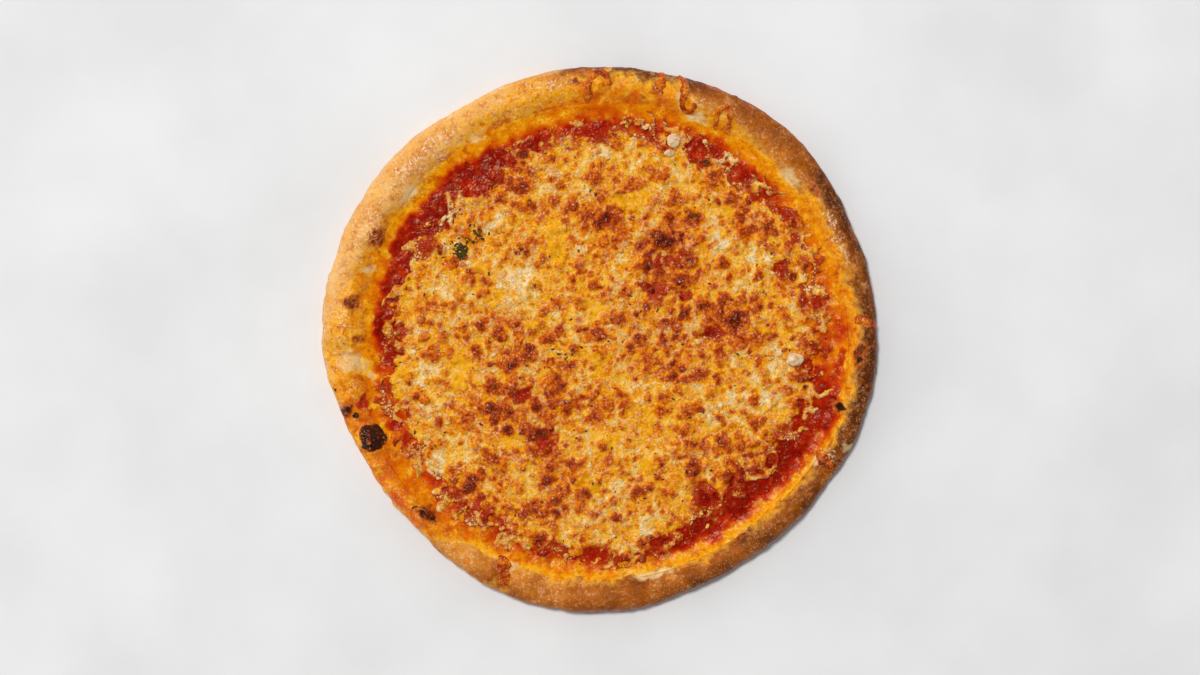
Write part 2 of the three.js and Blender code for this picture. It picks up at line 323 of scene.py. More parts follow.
def oily_colour(tree, place, fine, wet):
    """The colour that fat and sauce give to a place of this wetness: fried brown and bright yellow
    spots where it is only oily, dark and light pulp where the sauce is deep."""
    spotty = add(tree, "ShaderNodeTexNoise", fractal(place, 5, 4, 0.62))
    tone = add(tree, "ShaderNodeValToRGB", {0: wet}, stops=WET_STOPS)
    shallow, deep = (wet, 0.75, 0.5), (wet, 0.5, 0.75)
    return painted(tree, tone, [
        ("#FFC432", 0.7, shallow, (spotty, 0.46, 0.34)),  # drops of yellow fat
        ("#B04A04", 0.8, shallow, (spotty, 0.54, 0.68)),  # fried brown
        ("#C85A06", 0.7, shallow, (fine, 0.5, 0.34)),  # brown grain
        ("#CC4004", 0.6, deep, (spotty, 0.54, 0.7)),  # light pulp
        ("#5E0803", 0.6, deep, (spotty, 0.46, 0.32)),  # dark pulp
    ])


def heat_marks(tree, mottles, fine):
    """Layers for the pale and the toasted marks, their edges broken up by two noises."""
    toast = read(tree, "toast", fine, 1.6)
    return [
        ("#F0D094", 0.8, (read(tree, "pale", mottles, 1.4), 0.35, 0.95)),
        ("#C05A10", 0.8, (toast, 0.1, 0.5)),
        ("#702408", 1.0, (toast, 0.5, 0.95)),
    ]


def char_layer(tree, fine):
    """The layer for the charred marks."""
    return "#2C0E06", 1.0, (read(tree, "char", fine, 1.2), 0.4, 0.85)


# %% [markdown]
# ### Baked dough
#
# The crust is wheat dough baked hot and fast: tan where it browned, paler in its folds, and
# yellow-orange where the fat and the sauce ran over it. A thin bloom of flour and a skin of tiny
# blisters break up its shine. Noise alone would spread all of this evenly, so the oil, the sauce
# stains, the pale places and the char are painted by attributes, because they lie where the
# toppings ran and the heat reached. The gleams are painted highlights: pale patches in the colour
# where fat catches the key light. On the right and lower side of the rim the browning is partly
# painted shade, darker where the rim faces away from the key.

# %% Dough material
dough_look, tree, place = start("baked_dough")
slow = add(tree, "ShaderNodeTexNoise", fractal(place, 13, 4, 0.6))
mottles = add(tree, "ShaderNodeTexNoise", fractal(place, 5.5, 3, 0.6))
fine = add(tree, "ShaderNodeTexNoise", fractal(place, 2.6, 3, 0.62))
specks = add(tree, "ShaderNodeTexNoise", fractal(place, 1.5, 2, 0.6))
wet, brown = read(tree, "wet", fine, 0.24), read(tree, "brown", slow, 0.7)
crumb_tones = [(0.0, "#F4B860"), (0.35, "#DE8E2A"), (0.65, "#A45206"), (1.0, "#521E00")]
dough_tone = add(tree, "ShaderNodeValToRGB", {0: brown}, stops=crumb_tones)
lighter, drier = (brown, 0.7, 0.35, 0.3), (wet, 0.45, 0.2, 0.35)
colour = painted(tree, dough_tone, [
    ("#D47818", 0.8, lighter, (mottles, 0.48, 0.62)),  # browner mottles
    ("#BC640E", 0.5, lighter, (fine, 0.47, 0.34)),  # brown in the grain
    ("#F0C088", 0.4, lighter, (fine, 0.54, 0.68)),  # flour in the grain
    (oily_colour(tree, place, fine, wet), 1.0, (wet, 0.05, 0.32)),
    *heat_marks(tree, mottles, fine),
    ("#FFD8B8", 0.65, lighter, drier, (specks, 0.54, 0.68), (mottles, 0.42, 0.56, 0.3)),  # glints: painted highlights in the colour
    # Painted highlights: pale patches where fat on the rim catches the key light.
    ("#FFDABC", 0.75, (read(tree, "gleam", specks, 2.4), 0.55, 0.95)),
    char_layer(tree, fine),
])
rise = add(tree, "ShaderNodeMath", {"operation": "ADD", 0: fine, 1: specks})
bump = add(tree, "ShaderNodeBump", {"Strength": 0.6, "Distance": 0.7 * MM, "Height": rise})
# A dry crust is nearly matt, and a film of fat makes it shine.
oil_film = {"Value": wet, "From Min": 0.05, "From Max": 0.4, "To Min": 0.45, "To Max": 0.22}
finish_surface(tree, {
    "Base Color": colour,
    "Roughness": add(tree, "ShaderNodeMapRange", oil_film),
    "Normal": bump,
    "IOR": 1.42,
    "Specular IOR Level": 0.22,
    "Specular Tint": OIL_TINT,
    "Subsurface Weight": 0.1,
    "Subsurface Radius": (0.003, 0.0013, 0.0006),
    "Subsurface Scale": 1.0,
})
print("material:", dough_look.name)

# %% [markdown]
# ### Tomato sauce
#
# Crushed tomatoes baked under fat: a wet, dark red pulp that glitters in patches, with orange oil
# between the lumps. It takes the same tones as the soaked dough, and the marks of the rim run on
# over its upper edge, so that the one goes over into the other without a line.

# %% Sauce material
sauce_look, tree, place = start("tomato_sauce")
lumpy = add(tree, "ShaderNodeTexNoise", fractal(place, 6, 2))
mottles = add(tree, "ShaderNodeTexNoise", fractal(place, 5.5, 3, 0.6))
fine = add(tree, "ShaderNodeTexNoise", fractal(place, 2.6, 3, 0.62))
pulpy = add(tree, "ShaderNodeTexNoise", fractal(place, 1.8, 1))
settings = {"feature": "SMOOTH_F1", "Scale": per_mm(1.6), "Vector": place}
drops = add(tree, "ShaderNodeTexVoronoi", settings, "Distance")
wet = read(tree, "wet", fine, 0.24)
layers = [*heat_marks(tree, mottles, fine), char_layer(tree, fine)]
rise = add(tree, "ShaderNodeMath", {"operation": "SUBTRACT", 0: pulpy, 1: drops})
# The bump is strong in patches, where the pulp stands out of the oil, and faint between them.
glitter = amount(tree, 0.5, (lumpy, 0.46, 0.62, 0.24))
finish_surface(tree, {
    "Base Color": painted(tree, oily_colour(tree, place, fine, wet), layers),
    "Normal": add(tree, "ShaderNodeBump", {"Strength": glitter, "Distance": 0.8 * MM, "Height": rise}),
    "Roughness": 0.22,
    "IOR": 1.45,
    "Specular IOR Level": 0.12,
    "Specular Tint": OIL_TINT,
    "Subsurface Weight": 0.08,
    "Subsurface Radius": (0.002, 0.0004, 0.0002),
    "Subsurface Scale": 1.0,
})
print("material:", sauce_look.name)

# %% [markdown]
# ### Melted cheese
#
# Grated cheese that melted, fried in its own fat and toasted. Between the blisters it is granular
# and cream to yellow, the fat pools yellow-orange, and the tops of the blisters go from orange to
# a dark red-brown. The tone of a place runs along one scale from cream to toasted, broken up by a
# fine grain whose grains are painted paler in their middles and darker at their borders, a painted
# shade. Three more attributes say where fat pools, where sauce shines through and where the
# cheese froths. Its bubbles are small domes in the bump, with a pale lace between them. Dark
# specks in its pits are painted shade, and pale specks on it are painted highlights.

# %% Cheese materials
# From froth and cream through molten yellow and fried orange to a dark, crisp brown.
TOASTING = [
    (0.04, "#FFE8C4"), (0.18, "#F8CA70"), (0.32, "#F2AE1C"), (0.44, "#EC9602"),
    (0.57, "#DA6E02"), (0.7, "#BC4A04"), (0.84, "#942C05"), (1.0, "#5A1404"),
]
PUSH = 1.6 * MM  # how far a soft noise bends the finer patterns
BUBBLE_GRAINS = 2.4  # how many grains wide a bubble is


def cheese_material(name, grain_size, roughness):
    """Melted cheese with a grain of a size in mm. Over its toasted tone lie fat, froth, the lace
    between bubbles, sauce that shines through, dark specks of painted shade and glints of painted
    highlight."""
    material, tree, place = start(name)
    soft = add(tree, "ShaderNodeTexNoise", fractal(place, 2 * grain_size, 2))
    pushed = {"operation": "MULTIPLY_ADD", 0: soft.node.outputs["Color"], 1: [PUSH] * 3, 2: place}
    place = add(tree, "ShaderNodeVectorMath", pushed)
    fine = add(tree, "ShaderNodeTexNoise", fractal(place, grain_size, 3, 0.65))
    specks = add(tree, "ShaderNodeTexNoise", fractal(place, 1.7, 2, 0.6))
    settings = {"Scale": per_mm(grain_size), "Vector": place}
    grains = add(tree, "ShaderNodeTexVoronoi", settings, "Distance")
    settings = {"feature": "SMOOTH_F1", "Scale": per_mm(BUBBLE_GRAINS * grain_size), "Vector": place}
    domes = add(tree, "ShaderNodeTexVoronoi", settings, "Distance")
    settings["feature"] = "DISTANCE_TO_EDGE"
    lace = add(tree, "ShaderNodeTexVoronoi", settings, "Distance")
    froth, tone = read(tree, "froth", soft, 0.8), read(tree, "tone", soft, 0.45)
    mottling = {"Value": fine, "From Min": 0.2, "From Max": 0.8, "To Min": -0.2, "To Max": 0.2}
    # Painted shade of the grains: each is paler in its middle and darker at its border.
    painted_grain_shade = {"Value": grains, "From Min": 0.05, "From Max": 0.8, "To Min": -0.08, "To Max": 0.14}
    uneven = amount(tree, add(tree, "ShaderNodeMapRange", mottling), (froth, 0.2, 0.8, 0.4))
    for change in (uneven, add(tree, "ShaderNodeMapRange", painted_grain_shade)):
        settings = {"operation": "ADD", "use_clamp": True, 0: tone, 1: change}
        tone = add(tree, "ShaderNodeMath", settings)
    colour = painted(tree, add(tree, "ShaderNodeValToRGB", {0: tone}, stops=TOASTING), [
        ("#F8B004", 0.8, (read(tree, "fat", tone, -0.8), 0.3, 0.8)),
        ("#F9DBB6", 0.66, (froth, 0.2, 0.8), (fine, 0.42, 0.6)),
        ("#FAD890", 0.5, (lace, 0.1, 0.02), (tone, 0.74, 0.56), (soft, 0.46, 0.6)),
        ("#A81804", 0.9, (read(tree, "through", soft, 0.7), 0.22, 0.5)),
        ("#7A2402", 0.6, (specks, 0.38, 0.28)),  # dark specks: painted shade in the pits
        ("#FFDCB8", 0.65, (specks, 0.62, 0.74)),  # glints: painted highlights in the colour
    ])
    rise = add(tree, "ShaderNodeMath", {"operation": "SUBTRACT", 0: fine, 1: grains})
    rise = add(tree, "ShaderNodeMath", {"operation": "MULTIPLY_ADD", 0: domes, 1: -2.2, 2: rise})
    finish_surface(tree, {
        "Base Color": colour,
        "Normal": add(tree, "ShaderNodeBump", {"Strength": 0.7, "Distance": 0.7 * MM, "Height": rise}),
        "Roughness": roughness,
        "IOR": 1.42,
        "Specular IOR Level": 0.28,
        "Specular Tint": OIL_TINT,
        "Subsurface Weight": 0.08,
        "Subsurface Radius": (0.002, 0.001, 0.0004),
        "Subsurface Scale": 1.0,
    })
    print("material:", name)
    return material


cheese_look = cheese_material("melted_cheese", 1.7, 0.2)
crumb_look = cheese_material("cheese_crumb", 1.0, 0.3)
string_look = cheese_material("toasted_cheese_string", 1.0, 0.24)

# %% [markdown]
# ### Small things
#
# Fresh curd is nearly white and soft. Dried herbs are dark olive. Flour is a dull cream. The burnt
# skin of a bubble is black between its red-brown beads, and shines like glaze; the beads are
# painted lighter towards their tops, partly their own colour and partly a painted highlight.

# %% Curd, herb, flour and char materials
def plain_material(name, light, dark, size, settings):
    """Two tones mottled by noise of a size in mm."""
    material, tree, place = start(name)
    mottle = add(tree, "ShaderNodeTexNoise", fractal(place, size, 3))
    colour = painted(tree, light, [(dark, 1.0, (mottle, 0.4, 0.65))])
    bump = add(tree, "ShaderNodeBump", {"Strength": 0.4, "Distance": 0.3 * MM, "Height": mottle})
    finish_surface(tree, {"Base Color": colour, "Normal": bump, **settings})
    print("material:", name)
    return material


milky = {"Subsurface Weight": 0.2, "Subsurface Radius": (0.003, 0.002, 0.001), "Subsurface Scale": 1.0}
dull, floury = {"Specular IOR Level": 0.1}, {"Specular IOR Level": 0.2}
curd_look = plain_material("white_curd", "#E6CCA4", "#C8935A", 2.0, {"Roughness": 0.4, **milky})
herb_look = plain_material("dried_herb", "#5A4C1C", "#2C200C", 1.0, {"Roughness": 0.6, **dull})
flour_look = plain_material("flour", "#DDBB8C", "#C0935C", 0.6, {"Roughness": 0.7, **floury})

char_look, tree, place = start("charred_dough")
cracks = add(tree, "ShaderNodeTexNoise", fractal(place, 1.2, 4, 0.7))
bead = read(tree, "bead", cracks, 0.5)
burnt_tones = [(0.1, "#220703"), (0.35, "#521406"), (0.65, "#842C0C"), (1.0, "#C86420")]
finish_surface(tree, {
    "Base Color": add(tree, "ShaderNodeValToRGB", {0: bead}, stops=burnt_tones),
    "Normal": add(tree, "ShaderNodeBump", {"Strength": 0.6, "Distance": 0.4 * MM, "Height": cracks}),
    "Roughness": 0.16,
    "IOR": 1.45,
    "Specular Tint": OIL_TINT,
})
print("material:", char_look.name)

# %% [markdown]
# ## Crust
#
# The solid crust is a lathe whose section changes round the pizza. Its corners, sorted by sector
# and then by their place round the section, are a coarse grid. A smooth curve through that grid,
# first round the pizza and then along the section, gives the fine surface, which then gets relief
# along its normals: slow lumps, small blisters, creases and wrinkles.

# %% Read the crust's section off the frame
def corners_of(node):
    """The different corners of a CAD node, in mm."""
    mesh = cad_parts[node].data
    flat = np.empty(len(mesh.vertices) * 3)
    mesh.vertices.foreach_get("co", flat)
    return np.unique(np.round(flat.reshape(-1, 3) / MM, 3), axis=0)


dough = corners_of("crust")
on_axis = np.hypot(dough[:, 0], dough[:, 1]) < 20
axis = dough[on_axis].mean(0) * (1, 1, 0)  # the lathe's axis, a little off the origin
floor_height = dough[on_axis, 2].max()
crest_height = dough[:, 2].max()
dough = dough[~on_axis] - axis
sectors = np.count_nonzero(dough[:, 2] < 0.001)
sector = np.rint(np.arctan2(dough[:, 1], dough[:, 0]) / TAU * sectors).astype(int) % sectors
coarse = dough[np.argsort(sector, kind="stable")].reshape(sectors, -1, 3)
radii = np.hypot(coarse[..., 0], coarse[..., 1])
core = (radii.min(1, keepdims=True) + radii.max(1, keepdims=True)) / 2
waist = 0.4 * coarse[..., 2].max(1, keepdims=True)
turn = np.arctan2(coarse[..., 2] - waist, radii - core)
order = np.argsort(np.mod(turn + math.radians(100), TAU), axis=1)
coarse = np.take_along_axis(coarse, order[..., None], axis=1)
radii = np.take_along_axis(radii, order, axis=1)
print("crust read as", sectors, "sectors of", coarse.shape[1], "corners, on the axis", axis)

# %% Refine it with a smooth curve
RIM_COLUMNS = 960  # round the pizza, about 1 mm apart
RIM_ROWS = 84
UNDER_SHARE = 0.12  # share of the rows on the part under the widest line


def refined(grid, places, closed):
    """Catmull-Rom along the first axis: ½(2b + (c-a)t + (2a-5b+4c-d)t² + (3b-a-3c+d)t³) for the
    neighbours a, b, c, d of each place."""
    low = np.floor(places).astype(int)
    t = (places - low).reshape(-1, *[1] * (grid.ndim - 1))
    index = [low + k for k in (-1, 0, 1, 2)]
    index = [i % len(grid) if closed else np.clip(i, 0, len(grid) - 1) for i in index]
    a, b, c, d = (grid[i] for i in index)
    squared, cubed = 2 * a - 5 * b + 4 * c - d, 3 * b - a - 3 * c + d
    return (2 * b + (c - a) * t + squared * t**2 + cubed * t**3) / 2


mean_radii, mean_heights = radii.mean(0), coarse[..., 2].mean(0)
along = np.concatenate([[0], np.cumsum(np.hypot(np.diff(mean_radii), np.diff(mean_heights)))])
widest = along[np.argmax(mean_radii)]
under_rows = round(RIM_ROWS * UNDER_SHARE)
lengths = np.concatenate([
    np.linspace(0, widest, under_rows, endpoint=False),
    np.linspace(widest, along[-1], RIM_ROWS - under_rows),
])
row_places = np.interp(lengths, along, np.arange(len(along)))
round_trip = refined(coarse, np.arange(RIM_COLUMNS) * sectors / RIM_COLUMNS, closed=True)
rim = refined(round_trip.transpose(1, 0, 2), row_places, closed=False) + axis
print("fine rim:", rim.shape, "section of", round(along[-1], 1), "mm")

# %% [markdown]
# How far the sauce and the fat ran is read by angle, every 15 degrees from the right side on.
# Single splashes and stains, and places that stayed dry, are soft ellipses, each a row of x, y,
# half length, half width, turn in degrees and strength. The crust, the sauce and the scraps of
# cheese on it all ask the same function, so that a stain that starts on the one goes on over the
# other.

# %% How wet the pizza is
SAUCE_REACH = [
    141, 133, 133, 132, 132, 129, 128, 125.5, 126, 127, 128.5, 129,
    129, 128.5, 132, 129.5, 128.5, 131, 130, 130, 131, 129.5, 137, 143,
]
SAUCE_DEPTH = [  # how deep the sauce is inside its reach: only oil at 0, and thick sauce at 1
    0.25, 0.15, 0.3, 0.7, 0.8, 0.4, 0.5, 0.8, 1, 1, 1, 1,
    1, 0.02, 0.2, 0.3, 0.3, 0.45, 0.6, 0.6, 0.9, 1, 1, 0.9,
]
OIL_REACH = [
    148, 148, 147, 146, 146, 151, 151, 154, 150, 143, 142, 149,
    158, 159, 157, 154, 138, 138, 138, 138, 138, 139, 143, 147,
]
OIL_TONE_AND_LIGHT = [  # how orange the oil is: yellow at 0.25 and dark orange at 0.5; paler from 105 to 135 degrees as painted light on the inner slope that faces away from the key
    0.53, 0.38, 0.38, 0.24, 0.38, 0.44, 0.47, 0.16, 0.15, 0.14, 0.28, 0.26,
    0.2, 0.45, 0.48, 0.5, 0.52, 0.5, 0.4, 0.36, 0.46, 0.32, 0.54, 0.62,
]
OILY = [  # splashes of fat outside the oil's edge
    (48, 146, 12, 3.5, 75, 0.7), (35, 152, 7, 3, 80, 0.6), (6, 157, 3, 3.5, 0, 0.8),
    (70, 127, 8, 6, 60, 0.5), (-112, 84, 16, 6, 45, 0.5), (-62, -142, 8, 4, 70, 0.4),
    (-54, -146, 5, 4, 0, 0.5), (-140, 22, 9, 8, 0, 0.8), (-128, 58, 11, 8, 60, 0.7),
]
STAIN = [  # sauce and dark fat on the rim
    (-137, -35, 8, 5, 60, 0.75), (-133, -41, 6, 4, 60, 0.7), (139, -14, 17, 5, 85, 0.75),
    (136, 20, 10, 5, 80, 0.5), (-118, -50, 8, 9, 60, 0.85), (-113, -58, 5, 8, 0, 0.8),
    (-122, -78, 8, 3, -50, 0.35), (-92, -98, 12, 6, -40, 0.55), (-66, -106, 9, 5, -25, 0.5),
    (131, 33, 7, 4, 70, 0.4), (0, 137, 10, 5, 0, 0.4), (145, -30, 6, 3, 70, 0.35),
    (-122, 10, 4, 10, 0, 0.7), (-123, -10, 3, 8, 0, 0.4), (40, 130, 8, 5, -20, 0.5),
    (96, 92, 8, 4, -45, 0.4),
]
PALE = [  # places that stayed dry and floury
    (110, 93, 13, 6, -51, 0.9), (140, 48, 13, 2.4, -71, 0.6), (31, -136, 20, 4, 13, 0.9),
    (126, -70, 9, 3.4, 61, 0.9), (-141, -14, 13, 7, -20, 0.8), (-146, -8, 6, 3, 0, 0.6),
    (-131, -22, 3, 6, 0, 0.7), (-70, 116, 7, 3, 30, 0.8), (-110, 85, 12, 5, 52, 0.9),
    (-123, 88, 5, 5, 0, 0.7), (-133, 41, 4.5, 3.5, 0, 0.9), (-50, -131, 7, 4, 20, 0.8),
    (141.5, -62, 6, 3, 60, 0.8), (56, 127, 11, 4, -25, 0.8), (46, 137, 4, 9, 15, 0.6),
    (-72, -124, 10, 4, -30, 0.4), (-20, 148, 16, 4, 8, 0.3), (-92, 104, 9, 3, 45, 0.6),
]
UNDER_CHEESE = (118, 104)  # radii over which the sauce goes over to its full depth
OIL_FADE, SAUCE_FADE = (7, -6), (4.5, -4.5)  # over which their edges fade, in mm outside the edge
sauce_reach, sauce_depth = by_turn(SAUCE_REACH), by_turn(SAUCE_DEPTH)
oil_reach, oil_tone_and_light = by_turn(OIL_REACH), by_turn(OIL_TONE_AND_LIGHT)
print("splashes, stains and dry places:", len(OILY), len(STAIN), len(PALE))


def wetness(x, y):
    """From 0 on dry dough through 0.3 to 0.5 on oily dough, further out to further in, to 1 in
    deep sauce, with ragged edges."""
    flat = np.stack([x, y, 0 * x], -1)
    angle, radius = np.arctan2(y, x), np.hypot(x, y)
    ragged = 3 * noise(flat, 9, 6) + 2 * noise(flat, 3.2, 7)
    oil_edge, sauce_edge = oil_reach(angle) + ragged, sauce_reach(angle) + ragged
    oil = step(*OIL_FADE, radius - oil_edge)
    share = np.clip((oil_edge - radius) / (oil_edge - sauce_edge), 0, 1)
    depth = mix(sauce_depth(angle), 1, step(*UNDER_CHEESE, radius)) + 0.4 * noise(flat, 11, 11)
    depth += 0.3 * noise(flat, 4, 15)
    mottle = 0.12 * noise(flat, 8, 8) + 0.08 * noise(flat, 3.4, 14)
    wet = oil * mix(oil_tone_and_light(angle) + mottle, 0.47 + mottle, share)
    wet += 0.5 * np.clip(depth, 0, 1.1) * step(*SAUCE_FADE, radius - sauce_edge)
    drift_x = x + 2.5 * noise(flat, 6, 9) + 1.8 * noise(flat, 2.6, 12)
    drift_y = y + 2.5 * noise(flat, 6, 10) + 1.8 * noise(flat, 2.6, 13)
    wet = np.maximum(wet, 0.45 * spots(drift_x, drift_y, OILY))
    wet = np.maximum(wet, spots(drift_x, drift_y, STAIN))
    return np.clip(wet * (1 - 0.8 * spots(drift_x, drift_y, PALE)), 0, 1)


# %% [markdown]
# The other marks on the rim were made by hand and by the oven, so they too are listed one by one,
# in the same kind of rows. What has no place of its own comes from noise.

# %% Marks on the rim
CHAR = [  # burnt black-brown
    (-146.5, -41, 6, 3, 65, 0.75), (-140.5, -43.5, 2.2, 2, 0, 1.0), (-152.5, -28, 1.3, 1.1, 0, 1.1),
    (-101, -101, 5, 3, -35, 0.85), (-96.5, -103, 2.6, 2.2, 0, 0.8), (-106, -97, 2.4, 2, 0, 0.9),
    (122, 86, 4.5, 2.4, -55, 0.6), (152, -6, 3, 2.4, 80, 0.75), (150, -11, 2.6, 2.2, 0, 0.8),
    (139, -39, 5.0, 4.2, 60, 1.0), (-146.9, -2.2, 1.8, 1.4, 0, 0.9), (131.5, -72, 4, 2, -50, 0.7),
    (153, 10, 5, 1.3, 5, 0.4),
]
TOAST = [  # toasted orange to brown
    (-142, 22, 6, 5.5, 0, 0.95), (-138.5, 0, 6, 4, 0, 0.6), (-128, 58.5, 9, 6, 60, 0.75),
    (-146, -41, 9, 6, 65, 0.9), (-13, 149, 2.8, 2.4, 0, 1.0), (-8, 153, 10, 2, 5, 0.7),
    (150, -8, 9, 5, 80, 0.95), (151, 10, 7, 2.4, 5, 0.8), (-99, -101, 10, 6, -35, 0.9),
    (33, 144, 5, 3, 20, 0.5), (130, -72, 7, 4, -50, 0.9), (138, -39, 6, 5, 60, 0.7),
    (25, 139, 4, 3, 0, 0.5), (70, 145, 14, 3, -25, 0.6), (30, 131, 3, 2.5, 0, 0.6),
    (124, 86, 8, 4, -55, 0.7), (-58, 124, 14, 2, 30, 0.4), (-90, 105, 12, 2, 45, 0.4),
    (-30, 133, 10, 2, 15, 0.4), (-120, -66, 9, 5, -50, 0.4),
]
EDGE_PALE = [  # how pale its outer edge is, most on the upper left
    0, 0, 0.1, 0.15, 0.2, 0.3, 0.2, 0.6, 0.85, 0.6, 0.5, 0.6,
    0.5, 0.2, 0.1, 0.4, 0.5, 0.3, 0.2, 0.3, 0.3, 0.4, 0.3, 0.1,
]
PAINTED_HIGHLIGHTS = [  # painted highlights: where beads of fat and flour catch the light, put into the dough's colour
    (136, 60, 28, 5, -66, 0.55), (57, 138, 10, 4, -25, 0.5), (-30, 146, 22, 5, 12, 0.5),
    (-103, 105, 42, 8, 45, 0.6), (-133, 64, 24, 8, 65, 0.55), (-146, 12, 18, 6, 85, 0.5),
    (-142, -28, 12, 5, 100, 0.45), (-112, -88, 20, 5, -50, 0.25), (143, -33, 12, 4, 76, 0.35),
    (134, -66, 13, 5, 62, 0.5), (20, 150, 12, 4, -8, 0.4), (-84, -112, 14, 5, -35, 0.3),
]
CREASES = [  # from a point to another, and half the width
    (-152, -9, -142, -6.5, 1.8), (-142, -6.5, -134, -8.5, 1.8), (-134, -8.5, -128, -14, 1.6),
]
BROWNING_AND_SHADE = [  # on top of the rim, every 15 degrees: browning, and on the right and lower side also painted shade where the rim faces away from the key
    0.68, 0.6, 0.56, 0.42, 0.46, 0.56, 0.62, 0.14, 0.06, 0.04, 0.12, 0.1,
    0.03, 0.1, 0.22, 0.4, 0.46, 0.54, 0.64, 0.7, 0.76, 0.76, 0.78, 0.8,
]
EDGE_BAND = (145, 157)  # radii over which the top of the rim goes over to its outer edge
EDGE_BROWNING = [  # how much darker its outer edge is, along the same brown tones
    0.3, 0.25, 0.5, 0.3, 0.25, 0.55, 0.5, 0.1, 0.05, 0.05, 0, 0,
    0, 0, 0.05, 0.1, 0.1, 0.1, 0.1, 0.1, 0.08, 0.05, 0.1, 0.25,
]
print("charred and toasted marks, gleams:", len(CHAR), len(TOAST), len(PAINTED_HIGHLIGHTS))

# %% [markdown]
# The relief could be a Displace modifier, but worked out here it knows where the rim faces up and
# where it must stay below the solid's crest. The tones are put on the same grid as attributes.

# %% Relief and tones of the rim
def unit(vectors):
    """Vectors of length 1."""
    return vectors / np.linalg.norm(vectors, axis=-1, keepdims=True)


def grid_normals(grid):
    """The cross product of the steps round the pizza and along the section, for a closed grid."""
    round_step = np.roll(grid, -1, axis=1) - np.roll(grid, 1, axis=1)
    return unit(np.cross(round_step, np.gradient(grid, axis=0)))


def crease(x, y, x1, y1, x2, y2, half_width):
    """1 on the line from one point to another, and 0 from half a width away."""
    length = np.hypot(x2 - x1, y2 - y1)
    share = np.clip(((x - x1) * (x2 - x1) + (y - y1) * (y2 - y1)) / length**2, 0, 1)
    return dome(np.hypot(x - x1 - share * (x2 - x1), y - y1 - share * (y2 - y1)) / half_width)


def drifted(points):
    """The points' x and y, each moved by noise 6 mm wide and noise 2.4 mm wide."""
    flat = points * (1, 1, 0)
    return [
        points[..., i] + 2.2 * noise(flat, 6, 8 + i) + 1.6 * noise(flat, 2.4, 14 + i)
        for i in (0, 1)
    ]


LUMPS = [(0.8, 15, 1), (0.55, 7, 2), (0.28, 3.4, 3)]  # height and width in mm, and the noise's seed
FOOT_FADE, INNER_FADE = 6, 7  # rows over which the relief fades at the foot and beside the sauce
x, y, z = np.moveaxis(rim, -1, 0)
normals = grid_normals(rim)
upward = step(-0.2, 0.4, normals[..., 2])
blister, blister_token = cells(rim, 9, 1)
wrinkle = 1 - np.abs(noise(rim, 6.5, 4)) / 0.35
relief = sum(high * noise(rim, wide, seed) for high, wide, seed in LUMPS)
relief += 0.9 * dome(blister / 0.38) * step(0.55, 0.9, blister_token)
relief += 0.25 * np.clip(wrinkle, 0, 1) * step(-0.1, 0.4, noise(rim, 24, 5))
for x1, y1, x2, y2, half_width in CREASES:
    bent = y + 2 * noise(rim, 8, 7)
    relief += 0.7 * crease(x, bent, x1, y1, x2, y2, half_width) * upward
    relief -= 0.6 * crease(x, bent, x1, y1 - half_width, x2, y2 - half_width, half_width) * upward
row_number = np.arange(len(rim))[:, None]
relief *= step(0, FOOT_FADE, row_number)
relief *= step(len(rim) - 1, len(rim) - 1 - INNER_FADE, row_number)
relief = np.where(relief > 0, relief * step(crest_height + 1.5, crest_height - 3, z), relief)
rim_surface = rim + normals * relief[..., None]

angle, radius = np.arctan2(y, x), np.hypot(x, y)
drift_x, drift_y = drifted(rim)
# The brown attribute is browning and, on the right and lower side, painted shade.
browning_and_shade = by_turn(BROWNING_AND_SHADE)(angle) + by_turn(EDGE_BROWNING)(angle) * step(*EDGE_BAND, radius)
browning_and_shade = browning_and_shade + 0.12 * noise(rim, 18, 12) + 0.07 * noise(rim, 7, 16)
rim_values = {
    "wet": wetness(x, y) * upward,
    "brown": np.clip(browning_and_shade, 0, 1),
    "pale": np.maximum.reduce([
        spots(drift_x, drift_y, PALE),
        0.25 * step(0.2, 0.7, noise(rim, 11, 13)),
        by_turn(EDGE_PALE)(angle) * step(149, 157, radius) * (0.9 + 0.3 * noise(rim, 7, 17)),
    ]) * step(-0.7, -0.1, normals[..., 2]),
    "toast": spots(drift_x, drift_y, TOAST) * upward,
    "gleam": spots(drift_x, drift_y, PAINTED_HIGHLIGHTS) * upward,
    "char": spots(drift_x, drift_y, CHAR) * upward,
}
upper = rim_surface[under_rows + 4 :].reshape(-1, 3)
upper_normals = grid_normals(rim_surface)[under_rows + 4 :].reshape(-1, 3)


def settled(x, y, spread=1.2):
    """Points on the rim's top at each place, and their normals: means over the rim's points around
    it, weighted by exp(-d² / 2 spread²)."""
    reach = 3 * spread
    near = (upper[:, 0] > x.min() - reach) & (upper[:, 0] < x.max() + reach)
    near &= (upper[:, 1] > y.min() - reach) & (upper[:, 1] < y.max() + reach)
    around, facing = upper[near], upper_normals[near]
    squared = (x[:, None] - around[:, 0]) ** 2 + (y[:, None] - around[:, 1]) ** 2
    weights = np.exp(-squared / (2 * spread**2)) + 1e-12
    weights /= weights.sum(1, keepdims=True)
    return np.stack([x, y, weights @ around[:, 2]], -1), unit(weights @ facing)


print("relief from", relief.min().round(2), "to", relief.max().round(2), "mm")

# %% [markdown]
# The grid is closed by two flat discs, the base below and the floor under the sauce. The base has
# a slight relief that only rises, so that the crust still stands on its flat underside.

